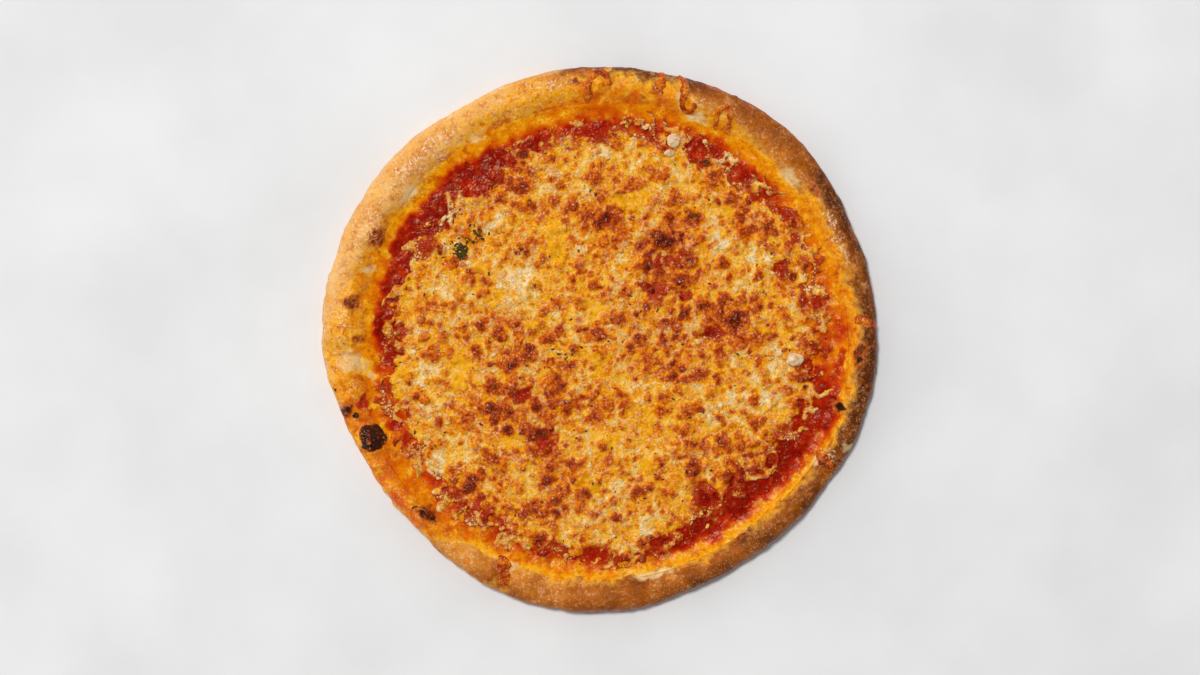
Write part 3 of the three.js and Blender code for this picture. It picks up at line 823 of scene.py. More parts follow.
# %% Put the crust
base_rings = axis + (rim_surface[0] - axis) * np.linspace(0.08, 0.98, 15)[:, None, None]
floor_rings = axis + (rim_surface[-1] - axis) * np.array([0.96, 0.7, 0.35])[:, None, None]
lattice = np.concatenate([base_rings, rim_surface, floor_rings])
base_rows, rows = len(base_rings), len(lattice)
lattice[:base_rows, :, 2] += 0.25 * np.clip(noise(base_rings, 8, 3), 0, 1)
middles = np.array([axis, axis + (0, 0, floor_height)])
crust_values = {}
for layer, values in rim_values.items():
    whole = np.zeros((rows, RIM_COLUMNS))
    whole[base_rows : base_rows + len(rim)] = values
    if layer == "brown":
        whole[: base_rows + 4] = 0.45 + 0.3 * noise(lattice[: base_rows + 4], 16, 5)
    crust_values[layer] = np.append(whole, [0, 0])
crust_sides = closed_faces(rows, RIM_COLUMNS)
crust_points = np.concatenate([lattice.reshape(-1, 3), middles])
put("dough", crust_points, crust_sides, dough_look, crust_values, replaces=["crust"])

# %% [markdown]
# One large bubble on the rim burnt: its skin broke into shiny black and red-brown beads. The beads
# could be a bump in the dough's material, but they are so high that they shade each other. So the
# bubble is a cap on a polar grid, laid on the rim, whose border dips into the dough.

# %% Burnt bubble
BUBBLE_X, BUBBLE_Y, BUBBLE_RADIUS = -131, -56.5, 8.4
BUBBLE_RINGS, BUBBLE_COLUMNS = 90, 220
u = np.arange(BUBBLE_COLUMNS) / BUBBLE_COLUMNS * TAU
v = np.linspace(1, 1 / BUBBLE_RINGS, BUBBLE_RINGS)[:, None]
outline = np.stack([np.cos(u), np.sin(u), 0 * u], -1)
reach = BUBBLE_RADIUS * (1 + 0.16 * noise(2 * outline, 1, 2) + 0.08 * noise(5 * outline, 1, 3))
cap_x, cap_y = BUBBLE_X + v * reach * np.cos(u), BUBBLE_Y + v * reach * np.sin(u)
cap, cap_normals = settled(cap_x.ravel(), cap_y.ravel(), 2)
beads, bead_token = cells(cap, 2.3, 2)
small_beads, _ = cells(cap, 1.2, 3)
v_flat = np.repeat(v[:, 0], BUBBLE_COLUMNS)
height = 2.4 * np.sqrt(np.clip(1 - v_flat**2, 0, 1)) - 0.7 + 0.5 * noise(cap, 5, 5)
beading = 1.1 * dome(beads / 0.7) * (0.3 + bead_token) + 0.35 * dome(small_beads / 0.7)
height += beading * step(1, 0.8, v_flat)
cap += cap_normals * height[:, None]
cap_under = cap[:BUBBLE_COLUMNS] - cap_normals[:BUBBLE_COLUMNS]
cap_middle = cap[-BUBBLE_COLUMNS:].mean(0)
cap_points = np.concatenate([cap_under, cap, [cap_under.mean(0), cap_middle]])
cap_sides = closed_faces(BUBBLE_RINGS + 1, BUBBLE_COLUMNS)
# The beads run from black between them to light red-brown on their tops: their own colour and a painted
# highlight.
bead = np.zeros(len(cap_points))
bead[len(cap_under) : -2] = dome(beads / 0.8) * (0.3 + 0.8 * bead_token)
put("burnt_bubble", cap_points, cap_sides, char_look, {"bead": bead})

# %% [markdown]
# ## Sauce
#
# The sauce is a flat, wet layer. It shows in a ring outside the cheese and through its gaps, so
# its rings of points lie closer together towards the outside. It climbs the slope of the rim in a
# smooth curve and ends under the dough, and carries the rim's marks there, so that no hard line
# shows where the two meet.

# %% Sauce surface
SAUCE_ROWS, SLOPE_ROWS = 70, 18
CLIMB = 6  # how far above the flat sauce its curve ends on the slope
sauce_corners = corners_of("sauce")
sauce_bottom, sauce_top = sauce_corners[:, 2].min(), sauce_corners[:, 2].max()


def pulp(place):
    """The relief of crushed tomato in mm: noise, and lumps a few mm wide."""
    lumps, token = cells(place, 4.5, 4)
    return 0.35 * noise(place, 7, 1) + 0.22 * noise(place, 3, 2) + 0.5 * dome(lumps / 0.6) * token


share = np.linspace(1, 0.02, SAUCE_ROWS)[1:, None] ** 0.7
foot = rim[-1] - axis
inner = axis + foot * share[..., None]
drawn_on = floor_height - 0.8 * (1 - share) * np.hypot(foot[:, 0], foot[:, 1])
slope = np.concatenate([rim[-SLOPE_ROWS:, :, 2], drawn_on])
above = slope - sauce_top
sauce_grid = np.concatenate([rim[-SLOPE_ROWS:], inner])
rounding = np.clip(CLIMB - np.abs(above), 0, None) ** 2 / (4 * CLIMB)
sauce_grid[..., 2] = np.maximum(slope, sauce_top) + rounding
sauce_grid[..., 2] += pulp(sauce_grid) * step(4, 0, above) - 0.9 * step(1, 5, above)
sauce_under = sauce_grid[0] * (1, 1, 0) + (0, 0, sauce_bottom)
sauce_middles = [axis + (0, 0, sauce_bottom), axis + (0, 0, sauce_top)]
sauce_points = np.concatenate([sauce_under, sauce_grid.reshape(-1, 3), sauce_middles])
sauce_sides = closed_faces(len(sauce_grid) + 1, RIM_COLUMNS)
marks_x, marks_y = drifted(sauce_points)
sauce_values = {
    "wet": wetness(sauce_points[:, 0], sauce_points[:, 1]),
    "pale": spots(marks_x, marks_y, PALE),
    "toast": spots(marks_x, marks_y, TOAST),
    "char": spots(marks_x, marks_y, CHAR),
}
put(
    "sauce_layer", sauce_points, sauce_sides, sauce_look, sauce_values,
    replaces=["sauce"],
)

# %% [markdown]
# ## Cheese
#
# The blanket is one continuous surface over a disc. Where it should have a hole or a ragged edge
# it simply dips below the sauce, which then shows. Its blisters, gaps and tones are listed where
# they are large, in rows of the same kind, and the many small ones come from cells. Outside its
# edge loose strands lie on the sauce, in narrow bands where a noise is near zero, and sauce shines
# through them where they are thin.

# %% Marks in the cheese
GAPS = [  # where the blanket is open
    (30, 29, 6, 3, -60, 1), (45, 24, 5, 2.4, -25, 0.8), (63, 2.5, 7, 2.6, 5, 1),
    (61, -92, 8, 3.5, -70, 1), (58, -108, 9, 5, 20, 1), (-1, -124, 8, 5, 5, 1),
    (-26, -126, 6, 4, 0, 0.9), (8, 125, 6, 5, 0, 1), (22, 121, 9, 5, -20, 0.9),
    (57, 110, 10, 7, -60, 1), (81, 95, 9, 5, -40, 0.9), (104, 80, 7, 4, -50, 0.8),
    (129, -12, 9, 6, 80, 0.9), (-42, -28, 5, 3, 30, 0.7), (-116, -52, 7, 5, 30, 0.9),
    (36, -117, 9, 4, 10, 0.9), (104, 42, 7, 3, 80, 0.5),
]
THROUGH = [  # where it is so thin that sauce shines through
    (30, 30, 15, 9, -50, 0.9), (47, 26, 13, 7, -25, 0.8), (40, 46, 14, 9, 20, 0.5),
    (65, 3, 12, 7, 5, 1), (60, -90, 14, 10, -70, 1), (58, -106, 13, 9, 20, 0.9),
    (-2, -122, 13, 7, 5, 0.9), (-26, -122, 10, 7, 0, 0.8), (8, 124, 12, 8, 0, 0.9),
    (26, 119, 14, 8, -20, 0.9), (57, 108, 14, 10, -60, 0.9), (80, 93, 13, 8, -40, 0.8),
    (102, 78, 12, 8, -50, 0.7), (128, -12, 14, 10, 80, 0.9), (36, -115, 14, 7, 10, 0.8),
    (-42, -32, 10, 8, 30, 0.6), (-30, -62, 12, 12, 0, 0.6), (-58, -75, 10, 8, -40, 0.5),
    (-68, -96, 10, 6, -20, 0.6), (104, 42, 10, 6, 80, 0.6), (12, 66, 12, 8, 0, 0.4),
    (90, -70, 12, 8, 45, 0.5), (-110, -60, 9, 8, 30, 0.7), (-85, -88, 9, 6, -30, 0.6),
    (105, -55, 12, 7, 60, 0.7), (78, -88, 12, 7, 45, 0.7), (20, 10, 12, 8, 0, 0.35),
    (45, -70, 12, 8, 0, 0.35), (-15, -45, 10, 8, 0, 0.4), (-60, 92, 10, 6, 0, 0.5),
]
BROWNED = [  # its largest toasted blisters
    (1, 67, 8, 8, 0, 1.05), (-8, 73, 8, 7, 0, 0.7), (38, 55, 9, 7, 10, 1.0), (24, 55, 6, 5, 0, 0.8),
    (55, 70, 9, 6, 20, 0.85), (-4, 95, 9, 7, 40, 0.75), (-52, -14, 9, 6, 0, 1.05),
    (-60, 5, 6, 5, 0, 0.85), (-73, -6, 6, 5, 0, 0.75), (-60, -30, 7, 6, 0, 0.7),
    (-46, -31, 7, 6, 0, 0.75), (-78, -47, 7, 8, 0, 0.7), (-36, -54, 8, 7, 0, 0.8),
    (-24, -26, 8, 7, 20, 0.9), (-4, -44, 7, 6, 0, 0.75), (-30, -64, 6, 6, 0, 0.85),
    (-16, -72, 6, 6, 0, 0.85), (-62, -68, 10, 6, -40, 0.7), (-75, -84, 8, 7, 0, 1.0),
    (-38, -96, 8, 6, 0, 0.85), (-35, -116, 8, 6, 0, 0.85), (12, 12, 6, 6, 0, 0.75),
    (78, 11, 7, 7, 0, 1.05), (60, 19, 9, 6, -30, 0.8), (42, -21, 7, 6, 0, 0.9),
    (57, -22, 7, 6, 0, 0.9), (37, -34, 6, 5, 0, 0.8), (106, 42, 4.5, 10, 0, 1.05),
    (118, 45, 7, 5, -20, 0.7), (116, -22, 8, 5, 0, 0.85), (90, -49, 7, 7, 0, 1.0),
    (54, -74, 7, 8, 0, 0.8), (73, -62, 6, 6, 0, 0.75), (-95, 18, 7, 6, 0, 0.7),
    (-44, 88, 10, 7, 10, 0.7), (34, 95, 7, 6, 0, 0.8), (-2, 118, 9, 6, 0, 0.95),
    (-64, 95, 7, 5, 0, 0.75), (-20, -16, 8, 6, 0, 0.7), (66, 92, 7, 7, 0, 0.75),
    (45, 35, 7, 5, 30, 0.8), (28, 42, 6, 5, 0, 0.8), (84, 62, 6, 5, 0, 0.6), (95, 62, 5, 7, 0, 0.6),
    (-52, 102, 6, 5, 0, 0.6),
]
HEAT = [  # wide regions with more and darker blisters
    (10, 75, 40, 26, -20, 0.5), (42, 50, 36, 26, -30, 0.9), (-45, -50, 40, 34, -40, 0.8),
    (-20, -85, 30, 26, 0, 0.6), (30, 0, 40, 34, 0, 0.7), (75, 5, 40, 20, 0, 0.5),
    (60, -60, 36, 30, 0, 0.6), (-62, 0, 28, 22, 0, 0.6), (-45, 92, 26, 14, 20, 0.6),
    (85, 70, 26, 18, -40, 0.6), (-60, -90, 30, 20, -30, 0.6), (100, 20, 20, 36, 0, 0.3),
]
CREAMY = [  # where it stayed pale
    (-19, 113, 9, 7, 0, 1), (-6, 107, 8, 7, 0, 1), (18, 104, 15, 10, 0, 1), (-26, 96, 7, 8, 0, 0.8),
    (-88, 72, 10, 12, 0, 1), (-57, 66, 11, 13, 0, 0.9), (-9, 46, 10, 9, 0, 0.9),
    (-45, 32, 19, 15, 0, 1), (-86, 28, 10, 11, 0, 0.9), (-100, -22, 9, 13, 0, 1),
    (-96, -40, 9, 15, 0, 1), (-92, -72, 10, 10, 0, 1), (-44, -82, 12, 13, 0, 0.9),
    (8, -88, 13, 11, 0, 0.7), (72, 104, 9, 7, 0, 0.9), (86, 28, 12, 10, 0, 0.9),
    (75, 57, 10, 9, 0, 0.8), (117, 33, 7, 10, 0, 0.9), (66, -48, 12, 11, 0, 0.9),
    (101, -32, 10, 9, 0, 0.8), (15, -22, 11, 9, 0, 0.8), (30, -104, 13, 8, 0, 0.8),
    (-20, -106, 13, 8, 0, 0.7), (84, -72, 8, 7, 0, 0.8), (42, 92, 9, 9, 0, 0.7),
    (-105, 5, 8, 14, 0, 0.8), (-98, 48, 8, 12, 0, 0.8), (90, 48, 10, 8, 0, 0.7),
    (60, -30, 16, 10, 0, 0.7), (105, -5, 9, 9, 0, 0.6),
]
FATTY = [  # where its fat pooled
    (-82, -20, 12, 19, 0, 1), (16, 79, 17, 10, 0, 1), (-24, 57, 11, 17, 0, 1),
    (-62, 25, 9, 9, 0, 0.9), (-48, -58, 13, 10, 0, 0.8), (92, 5, 12, 10, 0, 0.9),
    (-7, -82, 11, 10, 0, 0.9), (60, 50, 9, 9, 0, 0.9), (28, -70, 13, 11, 0, 0.8),
    (28, -46, 11, 9, 0, 0.8), (-116, -22, 12, 18, 0, 1), (50, -56, 13, 9, 0, 0.7),
    (-5, 18, 13, 9, 0, 0.8), (4, -12, 13, 9, 0, 0.7), (-110, 30, 8, 12, 0, 0.7),
    (-70, 42, 10, 8, 0, 0.8), (70, 75, 12, 8, 0, 0.7), (100, -40, 10, 9, 0, 0.8),
    (-35, 8, 12, 9, 0, 0.7), (5, -60, 12, 9, 0, 0.7),
]
print("gaps, blisters, pale and fatty places:", len(GAPS), len(BROWNED), len(CREAMY), len(FATTY))

# %% [markdown]
# One function says what the cheese is like at any place. The blanket, the crumbs and the herbs all
# ask it, so that they agree on where the cheese lies and how high it is.

# %% Layout of the cheese
EDGE_SECTORS = 144
RAGGED_EDGE = 11  # how far beyond its mean outline the cheese may reach, in mm
BARE_BORDER = 4.5  # how much of that is always bare, so that the border stays under the sauce
STRAND_REACH = 8  # how far loose strands reach beyond the ragged edge
DIP = (-3.4, -1)  # from where it lies wholly under the sauce to where it is whole
SETBACK = [  # how far its ragged edge lies inside its mean outline, every 15 degrees
    8, 4, 4, 5, 7, 4, 4, 4, 3, 11, 8, 7, 11, 10, 9, 8, 7, 7, 3, -3, 2, 4, 1, 4,
]
setback = by_turn(SETBACK)
cheese_corners = corners_of("cheese")
cheese_bottom = cheese_corners[:, 2].min()
lowest = cheese_corners[cheese_corners[:, 2] < cheese_bottom + 0.001]
share_of_turn = np.mod(np.arctan2(lowest[:, 1], lowest[:, 0]), TAU) / TAU
bins = (share_of_turn * EDGE_SECTORS).astype(int) % EDGE_SECTORS
reach = np.zeros(EDGE_SECTORS)
np.maximum.at(reach, bins, np.hypot(lowest[:, 0], lowest[:, 1]))
cheese_edge = by_turn(np.where(reach > 0, reach, np.roll(reach, 1)))
print("cheese edge from", reach[reach > 0].min().round(1), "to", reach.max().round(1), "mm")


def cheese_layout(x, y):
    """How covered, toasted, fatty and frothy the cheese is at each place, how much sauce shines
    through it, and its height in mm. Cover is 1 inside the ragged edge and on the strands, and the
    height goes from below the sauce to above it with cover."""
    flat = np.stack([x, y, np.zeros_like(x)], -1)
    wide, near = noise(flat, 9, 1), noise(flat, 3.4, 2)
    aside = 2.2 * noise(flat, 9, 3) + noise(flat, 3.4, 4)
    drift = flat + np.stack([2.2 * wide + near, aside, 0 * x], -1)
    drift_x, drift_y = drift[..., 0], drift[..., 1]
    angle, radius = np.arctan2(y, x), np.hypot(x, y)
    inside = cheese_edge(angle) - setback(angle) - radius + 5 * wide + 5 * near
    inside += 1.6 * noise(flat, 1.8, 15)
    limit = cheese_edge(angle) + RAGGED_EDGE - radius - BARE_BORDER + 2 * near
    strands = step(0.3, 0.14, np.abs(noise(drift, 6.5, 18)))
    cover = np.maximum(step(*DIP, inside), strands * step(*DIP, inside + STRAND_REACH))
    gap = spots(drift_x, drift_y, GAPS) + 0.15 * near
    cover *= step(*DIP, limit) * (1 - step(0.3, 0.6, gap))
    heat = spots(x, y, HEAT) + 0.5 * noise(flat, 26, 5)
    large, large_token = cells(drift, 8.4, 3)
    small, small_token = cells(0.5 * (drift + flat), 4.8, 5)
    grain, grain_token = cells(flat, 2.1, 6)
    large = step(0.52, 0.28, large) * step(0.85, 0.6, large_token - 0.35 * heat)
    small = step(0.5, 0.26, small) * step(0.9, 0.5, small_token - 0.3 * heat)
    browned = spots(drift_x, drift_y, BROWNED)
    creamy = spots(drift_x, drift_y, CREAMY)
    large_toast = large * mix(0.16, 0.36, np.mod(7 * large_token, 1))
    small_toast = small * mix(0.12, 0.3, np.mod(9 * small_token, 1))
    blobs = np.maximum.reduce([large_toast, small_toast, 0.4 * browned])
    fringe = step(9, 0, inside)
    froth = np.clip(1 - np.abs(noise(drift, 5, 11)) / 0.38, 0, 1) * step(-0.5, 0.2, noise(flat, 11, 17))
    froth = np.maximum(froth, 0.7 * strands * step(3, -3, inside)) * (1 - 2 * np.clip(blobs, 0, 0.5))
    tone = 0.38 + blobs + 0.14 * heat - 0.2 * creamy * (1 - browned) - 0.2 * froth + 0.08 * fringe
    tone = np.clip(tone + 0.12 * noise(flat, 6, 12) + 0.12 * noise(flat, 3, 13), 0, 1)
    fat = np.clip(spots(drift_x, drift_y, FATTY) + 0.6 * noise(flat, 6, 8) - 0.5 * froth, 0, 1)
    thin_fringe = 0.6 * fringe * step(0, 0.4, noise(flat, 6, 16))
    showing = np.maximum(spots(drift_x, drift_y, THROUGH), thin_fringe)
    through = np.clip(showing * (0.8 + 0.6 * near) - 0.3 * small + 0.2 * step(4, -2, inside), 0, 1)
    through = np.maximum(through, 0.4 * step(1.0, 0.4, cover))
    thickness = 1.5 + 0.5 * noise(flat, 15, 9) + 0.3 * noise(flat, 5, 10)
    thickness += 1.6 * large + 1.0 * small + 0.8 * browned + 0.5 * froth - 0.8 * through
    thickness += 0.3 * dome(grain / 0.9) * (0.2 + grain_token)
    height = mix(sauce_top - 0.9, np.maximum(cheese_bottom + thickness, sauce_top + 0.2), cover)
    froth = np.clip(0.6 * froth + 0.36 * creamy * (0.7 + 0.8 * near) - 0.5 * browned - 0.4 * fat, 0, 1)
    return {
        "cover": cover, "tone": tone, "fat": fat, "through": through, "froth": froth,
        "height": height,
    }


# %% Cheese blanket
BLANKET_SIDE = 308  # corners along each side of the grid
TONES = ("tone", "fat", "through", "froth")
side = np.linspace(-1, 1, BLANKET_SIDE)
square_x, square_y = np.meshgrid(side, side)
disc_x = square_x * np.sqrt(1 - square_y**2 / 2)
disc_y = square_y * np.sqrt(1 - square_x**2 / 2)
edge = cheese_edge(np.arctan2(disc_y, disc_x)) + RAGGED_EDGE
x, y = disc_x * edge, disc_y * edge
layout = cheese_layout(x, y)
top = np.stack([x, y, layout["height"]], -1).reshape(-1, 3)
number = np.arange(BLANKET_SIDE**2).reshape(BLANKET_SIDE, BLANKET_SIDE)
border = np.concatenate([number[0, :-1], number[:-1, -1], number[-1, :0:-1], number[:0:-1, 0]])
below = len(top) + np.arange(len(border))
skirt = top[border] * (1, 1, 0) + (0, 0, sauce_bottom + 0.2)
blanket_points = np.concatenate([top, skirt, [(0, 0, sauce_bottom + 0.2)]])
blanket_sides = [
    sheet_faces(BLANKET_SIDE, BLANKET_SIDE, False),
    np.stack([below, np.roll(below, -1), np.roll(border, -1), border], -1),
    fan_faces(below, len(blanket_points) - 1)[:, [1, 0, 2]],
]
unseen = np.zeros(len(border) + 1)
blanket_values = {tone: np.append(layout[tone], unseen) for tone in TONES}
put(
    "cheese_blanket", blanket_points, blanket_sides, cheese_look, blanket_values,
    replaces=["cheese"],
)
percentiles = np.percentile(layout["tone"], [5, 25, 50, 75, 95]).round(2)
print("tones, from the palest twentieth to the darkest:", percentiles)

# %% [markdown]
# Crumbs of cheese that never quite melted together stand on the blanket, and a few scraps lie out
# on the sauce. A small shape is copied thousands of times with its own size, stretch and turn, more
# often where the cheese is creamy, and the copies are joined to one mesh. Each is sunk to its
# middle, and takes the tones of the place where it lies.

# %% Crumbs and lumps
dice = np.random.default_rng(5)
CHEESE_REACH = 132  # how far from the middle cheese and herbs are scattered
SAUCE_SCRAP_REACH = 131
TRIES = 12  # places thrown for each one that is wanted


def scattered(count, liking, outer=CHEESE_REACH):
    """Up to count random places in the pizza, kept with the chance that liking gives."""
    tries = count * TRIES
    radius = outer * np.sqrt(dice.random(tries))
    angle = TAU * dice.random(tries)
    x, y = radius * np.cos(angle), radius * np.sin(angle)
    layout = cheese_layout(x, y)
    layout["wet"] = wetness(x, y)
    kept = np.flatnonzero(dice.random(tries) < liking(layout))[:count]
    return x[kept], y[kept], {layer: values[kept] for layer, values in layout.items()}


def round_shape(rows, columns):
    """A unit sphere as rings between two poles: (sin v cos u, sin v sin u, cos v). Returns its
    points and its faces, all triangles."""
    v = np.linspace(math.pi, 0, rows + 2)[1:-1, None]
    u = np.arange(columns) / columns * TAU
    ring = np.stack([np.sin(v) * np.cos(u), np.sin(v) * np.sin(u), np.cos(v) + 0 * u], -1)
    points = np.concatenate([ring.reshape(-1, 3), [(0, 0, -1), (0, 0, 1)]])
    squares, low, high = closed_faces(rows, columns)
    return points, np.concatenate([squares[:, [0, 1, 2]], squares[:, [0, 2, 3]], low, high])


def leaning(many, lean):
    """Random unit vectors near +Z, off it by up to about lean."""
    aslant, askew = lean * (dice.random(many) - 0.5), lean * (dice.random(many) - 0.5)
    return unit(np.stack([aslant, askew, np.ones(many)], -1))


def bits(name, count, size, flatness, shape_grid, roughness, liking, changes, outer=CHEESE_REACH):
    """Joined lumps of random sizes, each sunk to its middle. changes says how their tones differ
    from those of the cheese under them."""
    shape, faces = round_shape(*shape_grid)
    x, y, layout = scattered(count, liking, outer)
    many = len(x)
    scale = mix(size[0], size[1], dice.random(many) ** 1.8)
    longer, wider, taller = [dice.random(many) for _ in range(3)]
    stretch = [0.8 + 0.8 * longer, 0.7 + 0.4 * wider, flatness * (0.8 + 0.4 * taller)]
    places = np.stack([x, y, np.maximum(layout["height"], sauce_top)], -1)
    lumpy = shape * (1 + roughness * (dice.random((many, len(shape), 1)) - 0.5))
    turns = turned(leaning(many, 0.5), TAU * dice.random(many))
    stretches = scale[:, None] * np.stack(stretch, -1)
    points, all_faces = copies(lumpy, faces, stretches, turns, places)
    values = {}
    for tone in TONES:
        changed = np.clip(layout[tone] + changes.get(tone, 0) + 0.3 * (dice.random(many) - 0.5), 0, 1)
        values[tone] = np.repeat(changed, len(shape))
    return put(name, points, [all_faces], crumb_look, values)


def on_pale(layout):
    """How much crumbs like a place: covered, pale or frothy, and not toasted."""
    return (layout["cover"] > 0.5) * step(0, 0.6, layout["froth"]) * step(0.6, 0.35, layout["tone"])


def on_sauce(layout):
    """How much scraps like a place: bare of cheese, and not in deep sauce."""
    return (layout["cover"] < 0.4) * step(1.0, 0.7, layout["wet"]) * 0.4


CREAMIER = {"fat": -0.3, "through": -0.7}
SAUCY = {"tone": 0.1, "through": 0.3, "froth": 0.1}
bits("cheese_crumbs", 6500, (0.3, 0.85), 0.6, (3, 5), 0.7, on_pale, CREAMIER)
bits("cheese_lumps", 420, (0.8, 1.7), 0.38, (8, 12), 0.3, on_pale, CREAMIER)
bits("cheese_scraps", 600, (0.4, 1.3), 0.35, (4, 8), 0.4, on_sauce, SAUCY, SAUCE_SCRAP_REACH)

# %% [markdown]
# Dried herbs fell on the cheese in a few clumps and here and there. They could be painted on it,
# but real flakes stand up and shade it. Each is a thin, slightly cupped leaf scrap: a small sphere
# pressed flat, whose ends are bent up by 0.9 x².

# %% Herb flakes
CLUMPS = [  # x, y, spread and number
    (-80, 52, 4, 90), (-79, 49, 2.4, 50), (-70, 60, 4, 44), (-2, 88, 8, 10), (-21, -8, 6, 24),
    (-62, 92, 4, 20), (55, 71, 5, 12), (-92, 50, 4, 14), (-46, 50, 4, 14), (60, 104, 4, 10),
    (-96, 68, 4, 10),
]
clump_x = np.concatenate([x0 + spread * dice.normal(size=n) / 1.6 for x0, y0, spread, n in CLUMPS])
clump_y = np.concatenate([y0 + spread * dice.normal(size=n) / 1.6 for x0, y0, spread, n in CLUMPS])
lone_x, lone_y, _ = scattered(260, lambda l: 0.5 * (l["cover"] > 0.5))
herb_x, herb_y = np.concatenate([clump_x, lone_x]), np.concatenate([clump_y, lone_y])
herb_height = cheese_layout(herb_x, herb_y)["height"]
many = len(herb_x)
leaf, leaf_faces = round_shape(3, 7)
leaf[:, 2] += 0.9 * leaf[:, 0] ** 2
size = mix(0.35, 1.1, dice.random(many) ** 2)
stretch = np.stack([size * (0.8 + 0.8 * dice.random(many)), size * 0.6, 0.16 * np.ones(many)], -1)
places = np.stack([herb_x, herb_y, herb_height + 0.35], -1)
turns = turned(leaning(many, 0.6), TAU * dice.random(many))
herb_points, herb_faces = copies(leaf * np.ones((many, 1, 1)), leaf_faces, stretch, turns, places)
put("herb_flakes", herb_points, [herb_faces], herb_look)

# %% [markdown]
# ## Curds
#
# Three curds of fresh cheese kept their form. Each is a sphere that fills the box of its solid,
# swollen by noise, which is softer and less even than a solid's own facets.

# %% Curds
for index in (1, 2, 3):
    low, high = (np.array(corner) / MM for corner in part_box(f"curd_{index}"))
    shape, faces = round_shape(26, 36)
    swell = 1 + 0.16 * noise(shape * 6 + index * 9, 5, 1) + 0.07 * noise(shape * 6, 2.2, 2)
    points = (low + high) / 2 + shape * swell[:, None] * (high - low) / 2 * (1, 1, 0.95)
    put(f"white_curd_{index}", points, [faces], curd_look, replaces=[f"curd_{index}"])

# %% [markdown]
# ## Cheese strings
#
# Seven strands of grated cheese fell on the rim, melted over its form and fried dark. A curve with
# a bevel would make round strands. These are flattened tubes along their lines, read as angle and
# radius, that lie on the nearest points of the rim and swell and crackle by noise and cells.

# %% Cheese strings on the rim
STRINGS = [  # width in mm, and the line as angles in degrees and radii
    [3.4, [(93.2, 136), (92.8, 143), (92, 150), (90, 153.5), (88.6, 150.5), (87.8, 145.5)]],
    [4.2, [(77, 157.5), (76.6, 152), (77.1, 147.5), (75.8, 144.5)]],
    [3.0, [
        (73.4, 158.5), (71.8, 155), (71.1, 149.5), (70.8, 143), (69.6, 139.7), (68.2, 141.5),
        (68.2, 146),
    ]],
    [2.6, [
        (61, 137), (62.2, 143), (62.4, 148.5), (61.6, 151.5), (60.2, 149.5), (59, 144),
        (58.3, 138.5),
    ]],
    [5.2, [(245.1, 133), (246.6, 141), (247.9, 147), (248.9, 152.5)]],
    [4.0, [(4.4, 147), (3.6, 153), (2.6, 158.5)]],
    [3.4, [(332.6, 140.5), (331.8, 147), (331, 152.5)]],
]
STRING_STEPS, STRING_SIDES = 90, 20
string_points, string_faces = [], []
u = np.arange(STRING_SIDES) / STRING_SIDES * TAU
sphere, one_string = round_shape(STRING_STEPS, STRING_SIDES)  # a tube has the faces of a sphere
for number, (width, line) in enumerate(STRINGS):
    turns, out = np.radians([a for a, r in line]), np.array([r for a, r in line])
    corners = np.stack([out * np.cos(turns), out * np.sin(turns)], -1) + axis[:2]
    route = refined(corners, np.linspace(0, len(line) - 1, STRING_STEPS), closed=False)
    centre, normal = settled(route[:, 0], route[:, 1])
    forward = unit(np.gradient(centre, axis=0))
    across = unit(np.cross(forward, normal))
    upwards = np.cross(across, forward)
    half = 0.6 * width * (1 + 0.3 * noise(centre, 5, 20 + number))
    half = (half * np.sqrt(1 - np.linspace(-1, 1, STRING_STEPS) ** 6))[:, None, None] + 0.05
    ring = np.sin(u)[:, None] * across[:, None] + 0.5 * np.cos(u)[:, None] * upwards[:, None]
    tube = centre[:, None] + ring * half
    crackled, _ = cells(tube, 1.5, 3)
    swelling = 0.25 * noise(tube, 2.6, 4) + 0.25 * dome(crackled / 0.8)
    tube += (tube - centre[:, None]) * swelling[..., None]
    string_points.append(np.concatenate([tube.reshape(-1, 3), centre[[0, -1]]]))
    string_faces.append(one_string + number * len(sphere))
string_points = np.concatenate(string_points)
string_tone = 0.62 + 0.2 * noise(string_points, 3, 5)
put(
    "cheese_strings",
    string_points,
    string_faces,
    string_look,
    {"tone": string_tone},
    replaces=[f"cheese_string_{i + 1}" for i in range(len(STRINGS))],
)

# %% [markdown]
# ## Flour
#
# Grains of flour and semolina from the peel cling to the outside of the rim. They could be specks
# in the dough's material, but as small lumps they show on the outline and from the side too.

# %% Flour grains
GRAINS = 5400
FOOT_ROWS, INNER_ROWS = 6, 22  # rows of the rim without flour, at its foot and beside the sauce
grain, grain_faces = round_shape(2, 5)
picked_row = dice.integers(FOOT_ROWS, len(rim_surface) - INNER_ROWS, GRAINS)
picked_column = dice.integers(0, RIM_COLUMNS, GRAINS)
at = rim_surface[picked_row, picked_column]
stands = grid_normals(rim_surface)[picked_row, picked_column]
turn = np.arctan2(at[:, 1], at[:, 0])
lower_right = 0.12 + 0.7 * step(-0.1, 0.7, np.cos(turn + math.radians(75)))
outwards = 0.1 + 0.9 * step(140, 150, np.hypot(at[:, 0], at[:, 1]))
liked = dice.random(GRAINS) < lower_right * outwards * step(-0.3, 0.5, noise(at, 14, 9))
at, stands = at[liked], stands[liked]
many = len(at)
size = mix(0.14, 0.36, dice.random(many) ** 2)[:, None] * np.array([1.2, 0.9, 0.7])
turns = turned(stands, TAU * dice.random(many))
flour_points, flour_faces = copies(grain * np.ones((many, 1, 1)), grain_faces, size, turns, at)
put("flour_grains", flour_points, [flour_faces], flour_look)

# %% [markdown]
# ## Studio
#
# A plain pale floor, one soft key light from the upper left and a surround that is bright at its
# sides and dark overhead, as in a room where only the walls are lit. So the fat shines in glints
# and keeps its colour between them. The camera looks straight down through a long lens, so that
# the rim shows the same from every side.

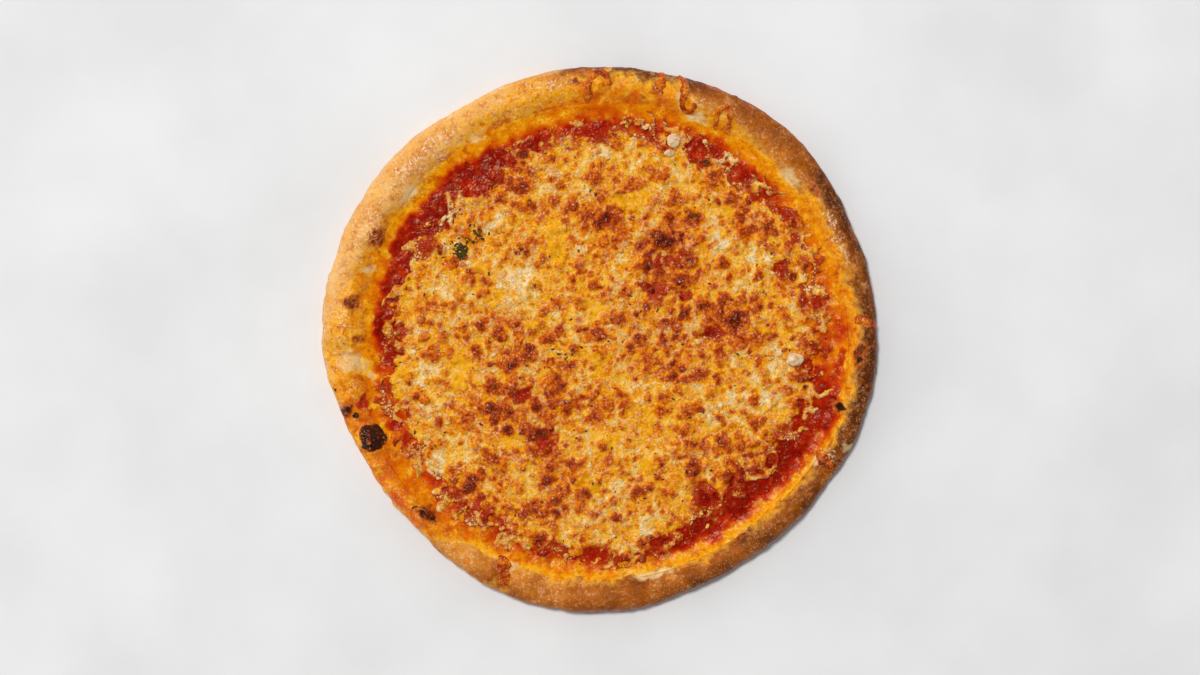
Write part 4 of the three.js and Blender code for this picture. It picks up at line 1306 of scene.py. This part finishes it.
# %% Floor, lights and camera
FRAME_WIDTH = 692  # mm of floor across the picture
LENS, SENSOR = 85, 36
RIM_HEIGHT = 9  # where the outline is widest
PICTURE_MIDDLE = (0.3, 1.2)  # where the camera looks, a little off the pizza's middle
FLOOR_REACH = 3  # metres
KEY_DISTANCE = 4.0  # metres
KEY_TURN, KEY_RISE = math.radians(128), math.radians(73)
to_key = (math.cos(KEY_TURN), math.sin(KEY_TURN), 0)

floor_look, tree, place = start("pale_plaster")
# Smudges about 11 cm wide keep the plaster from looking like one flat colour.
smudges = add(tree, "ShaderNodeTexNoise", {"Scale": 9, "Detail": 4, "Vector": place})
plaster = painted(tree, "#EEEEEE", [("#E4E4E4", 1.0, (smudges, 0.35, 0.65))])
finish_surface(tree, {"Base Color": plaster, "Roughness": 0.8})
floor_mesh = bpy.data.meshes.new("floor")
corners = [(FLOOR_REACH * i, FLOOR_REACH * j, 0) for i, j in ((-1, -1), (1, -1), (1, 1), (-1, 1))]
floor_mesh.from_pydata(corners, [], [(0, 1, 2, 3)])
floor_mesh.materials.append(floor_look)
floor = bpy.data.objects.new("floor", floor_mesh)
bpy.context.scene.collection.objects.link(floor)

key = bpy.data.lights.new("key", "AREA")
key.shape = "DISK"
key.size = 0.8
key.energy = 102
key_object = bpy.data.objects.new("key", key)
level, rise = KEY_DISTANCE * math.cos(KEY_RISE), KEY_DISTANCE * math.sin(KEY_RISE)
key_object.location = (level * to_key[0], level * to_key[1], rise)
key_object.rotation_euler = (-key_object.location).to_track_quat("-Z", "Y").to_euler()
bpy.context.scene.collection.objects.link(key_object)

world = bpy.data.worlds.new("surround")
world.use_nodes = True
tree = world.node_tree
background = tree.nodes["Background"]
background.inputs["Color"].default_value = (1, 1, 1, 1)
direction = add(tree, "ShaderNodeTexCoord", {}, "Generated")
up = add(tree, "ShaderNodeSeparateXYZ", {0: direction}, "Z")
settings = {"operation": "DOT_PRODUCT", 0: direction, 1: to_key}
toward = add(tree, "ShaderNodeVectorMath", settings, "Value")
darker_above = add(tree, "ShaderNodeMapRange", {"Value": up, "To Min": 0.96, "To Max": 0.08})
settings = {"Value": toward, "From Min": -1, "To Min": 0.4, "To Max": 1.6}
brighter_by_key = add(tree, "ShaderNodeMapRange", settings)
settings = {"operation": "MULTIPLY", 0: darker_above, 1: brighter_by_key}
tree.links.new(add(tree, "ShaderNodeMath", settings), background.inputs["Strength"])
bpy.context.scene.world = world
bpy.context.scene.view_settings.view_transform = "Standard"

camera = bpy.data.cameras.new("camera")
camera.lens, camera.sensor_width = LENS, SENSOR
camera.clip_end = 10
camera_object = bpy.data.objects.new("camera", camera)
camera_height = (FRAME_WIDTH * LENS / SENSOR + RIM_HEIGHT) * MM
camera_object.location = (PICTURE_MIDDLE[0] * MM, PICTURE_MIDDLE[1] * MM, camera_height)
bpy.context.scene.collection.objects.link(camera_object)
bpy.context.scene.camera = camera_object
print("camera", round(camera_height, 3), "m up, key light", KEY_DISTANCE, "m away")
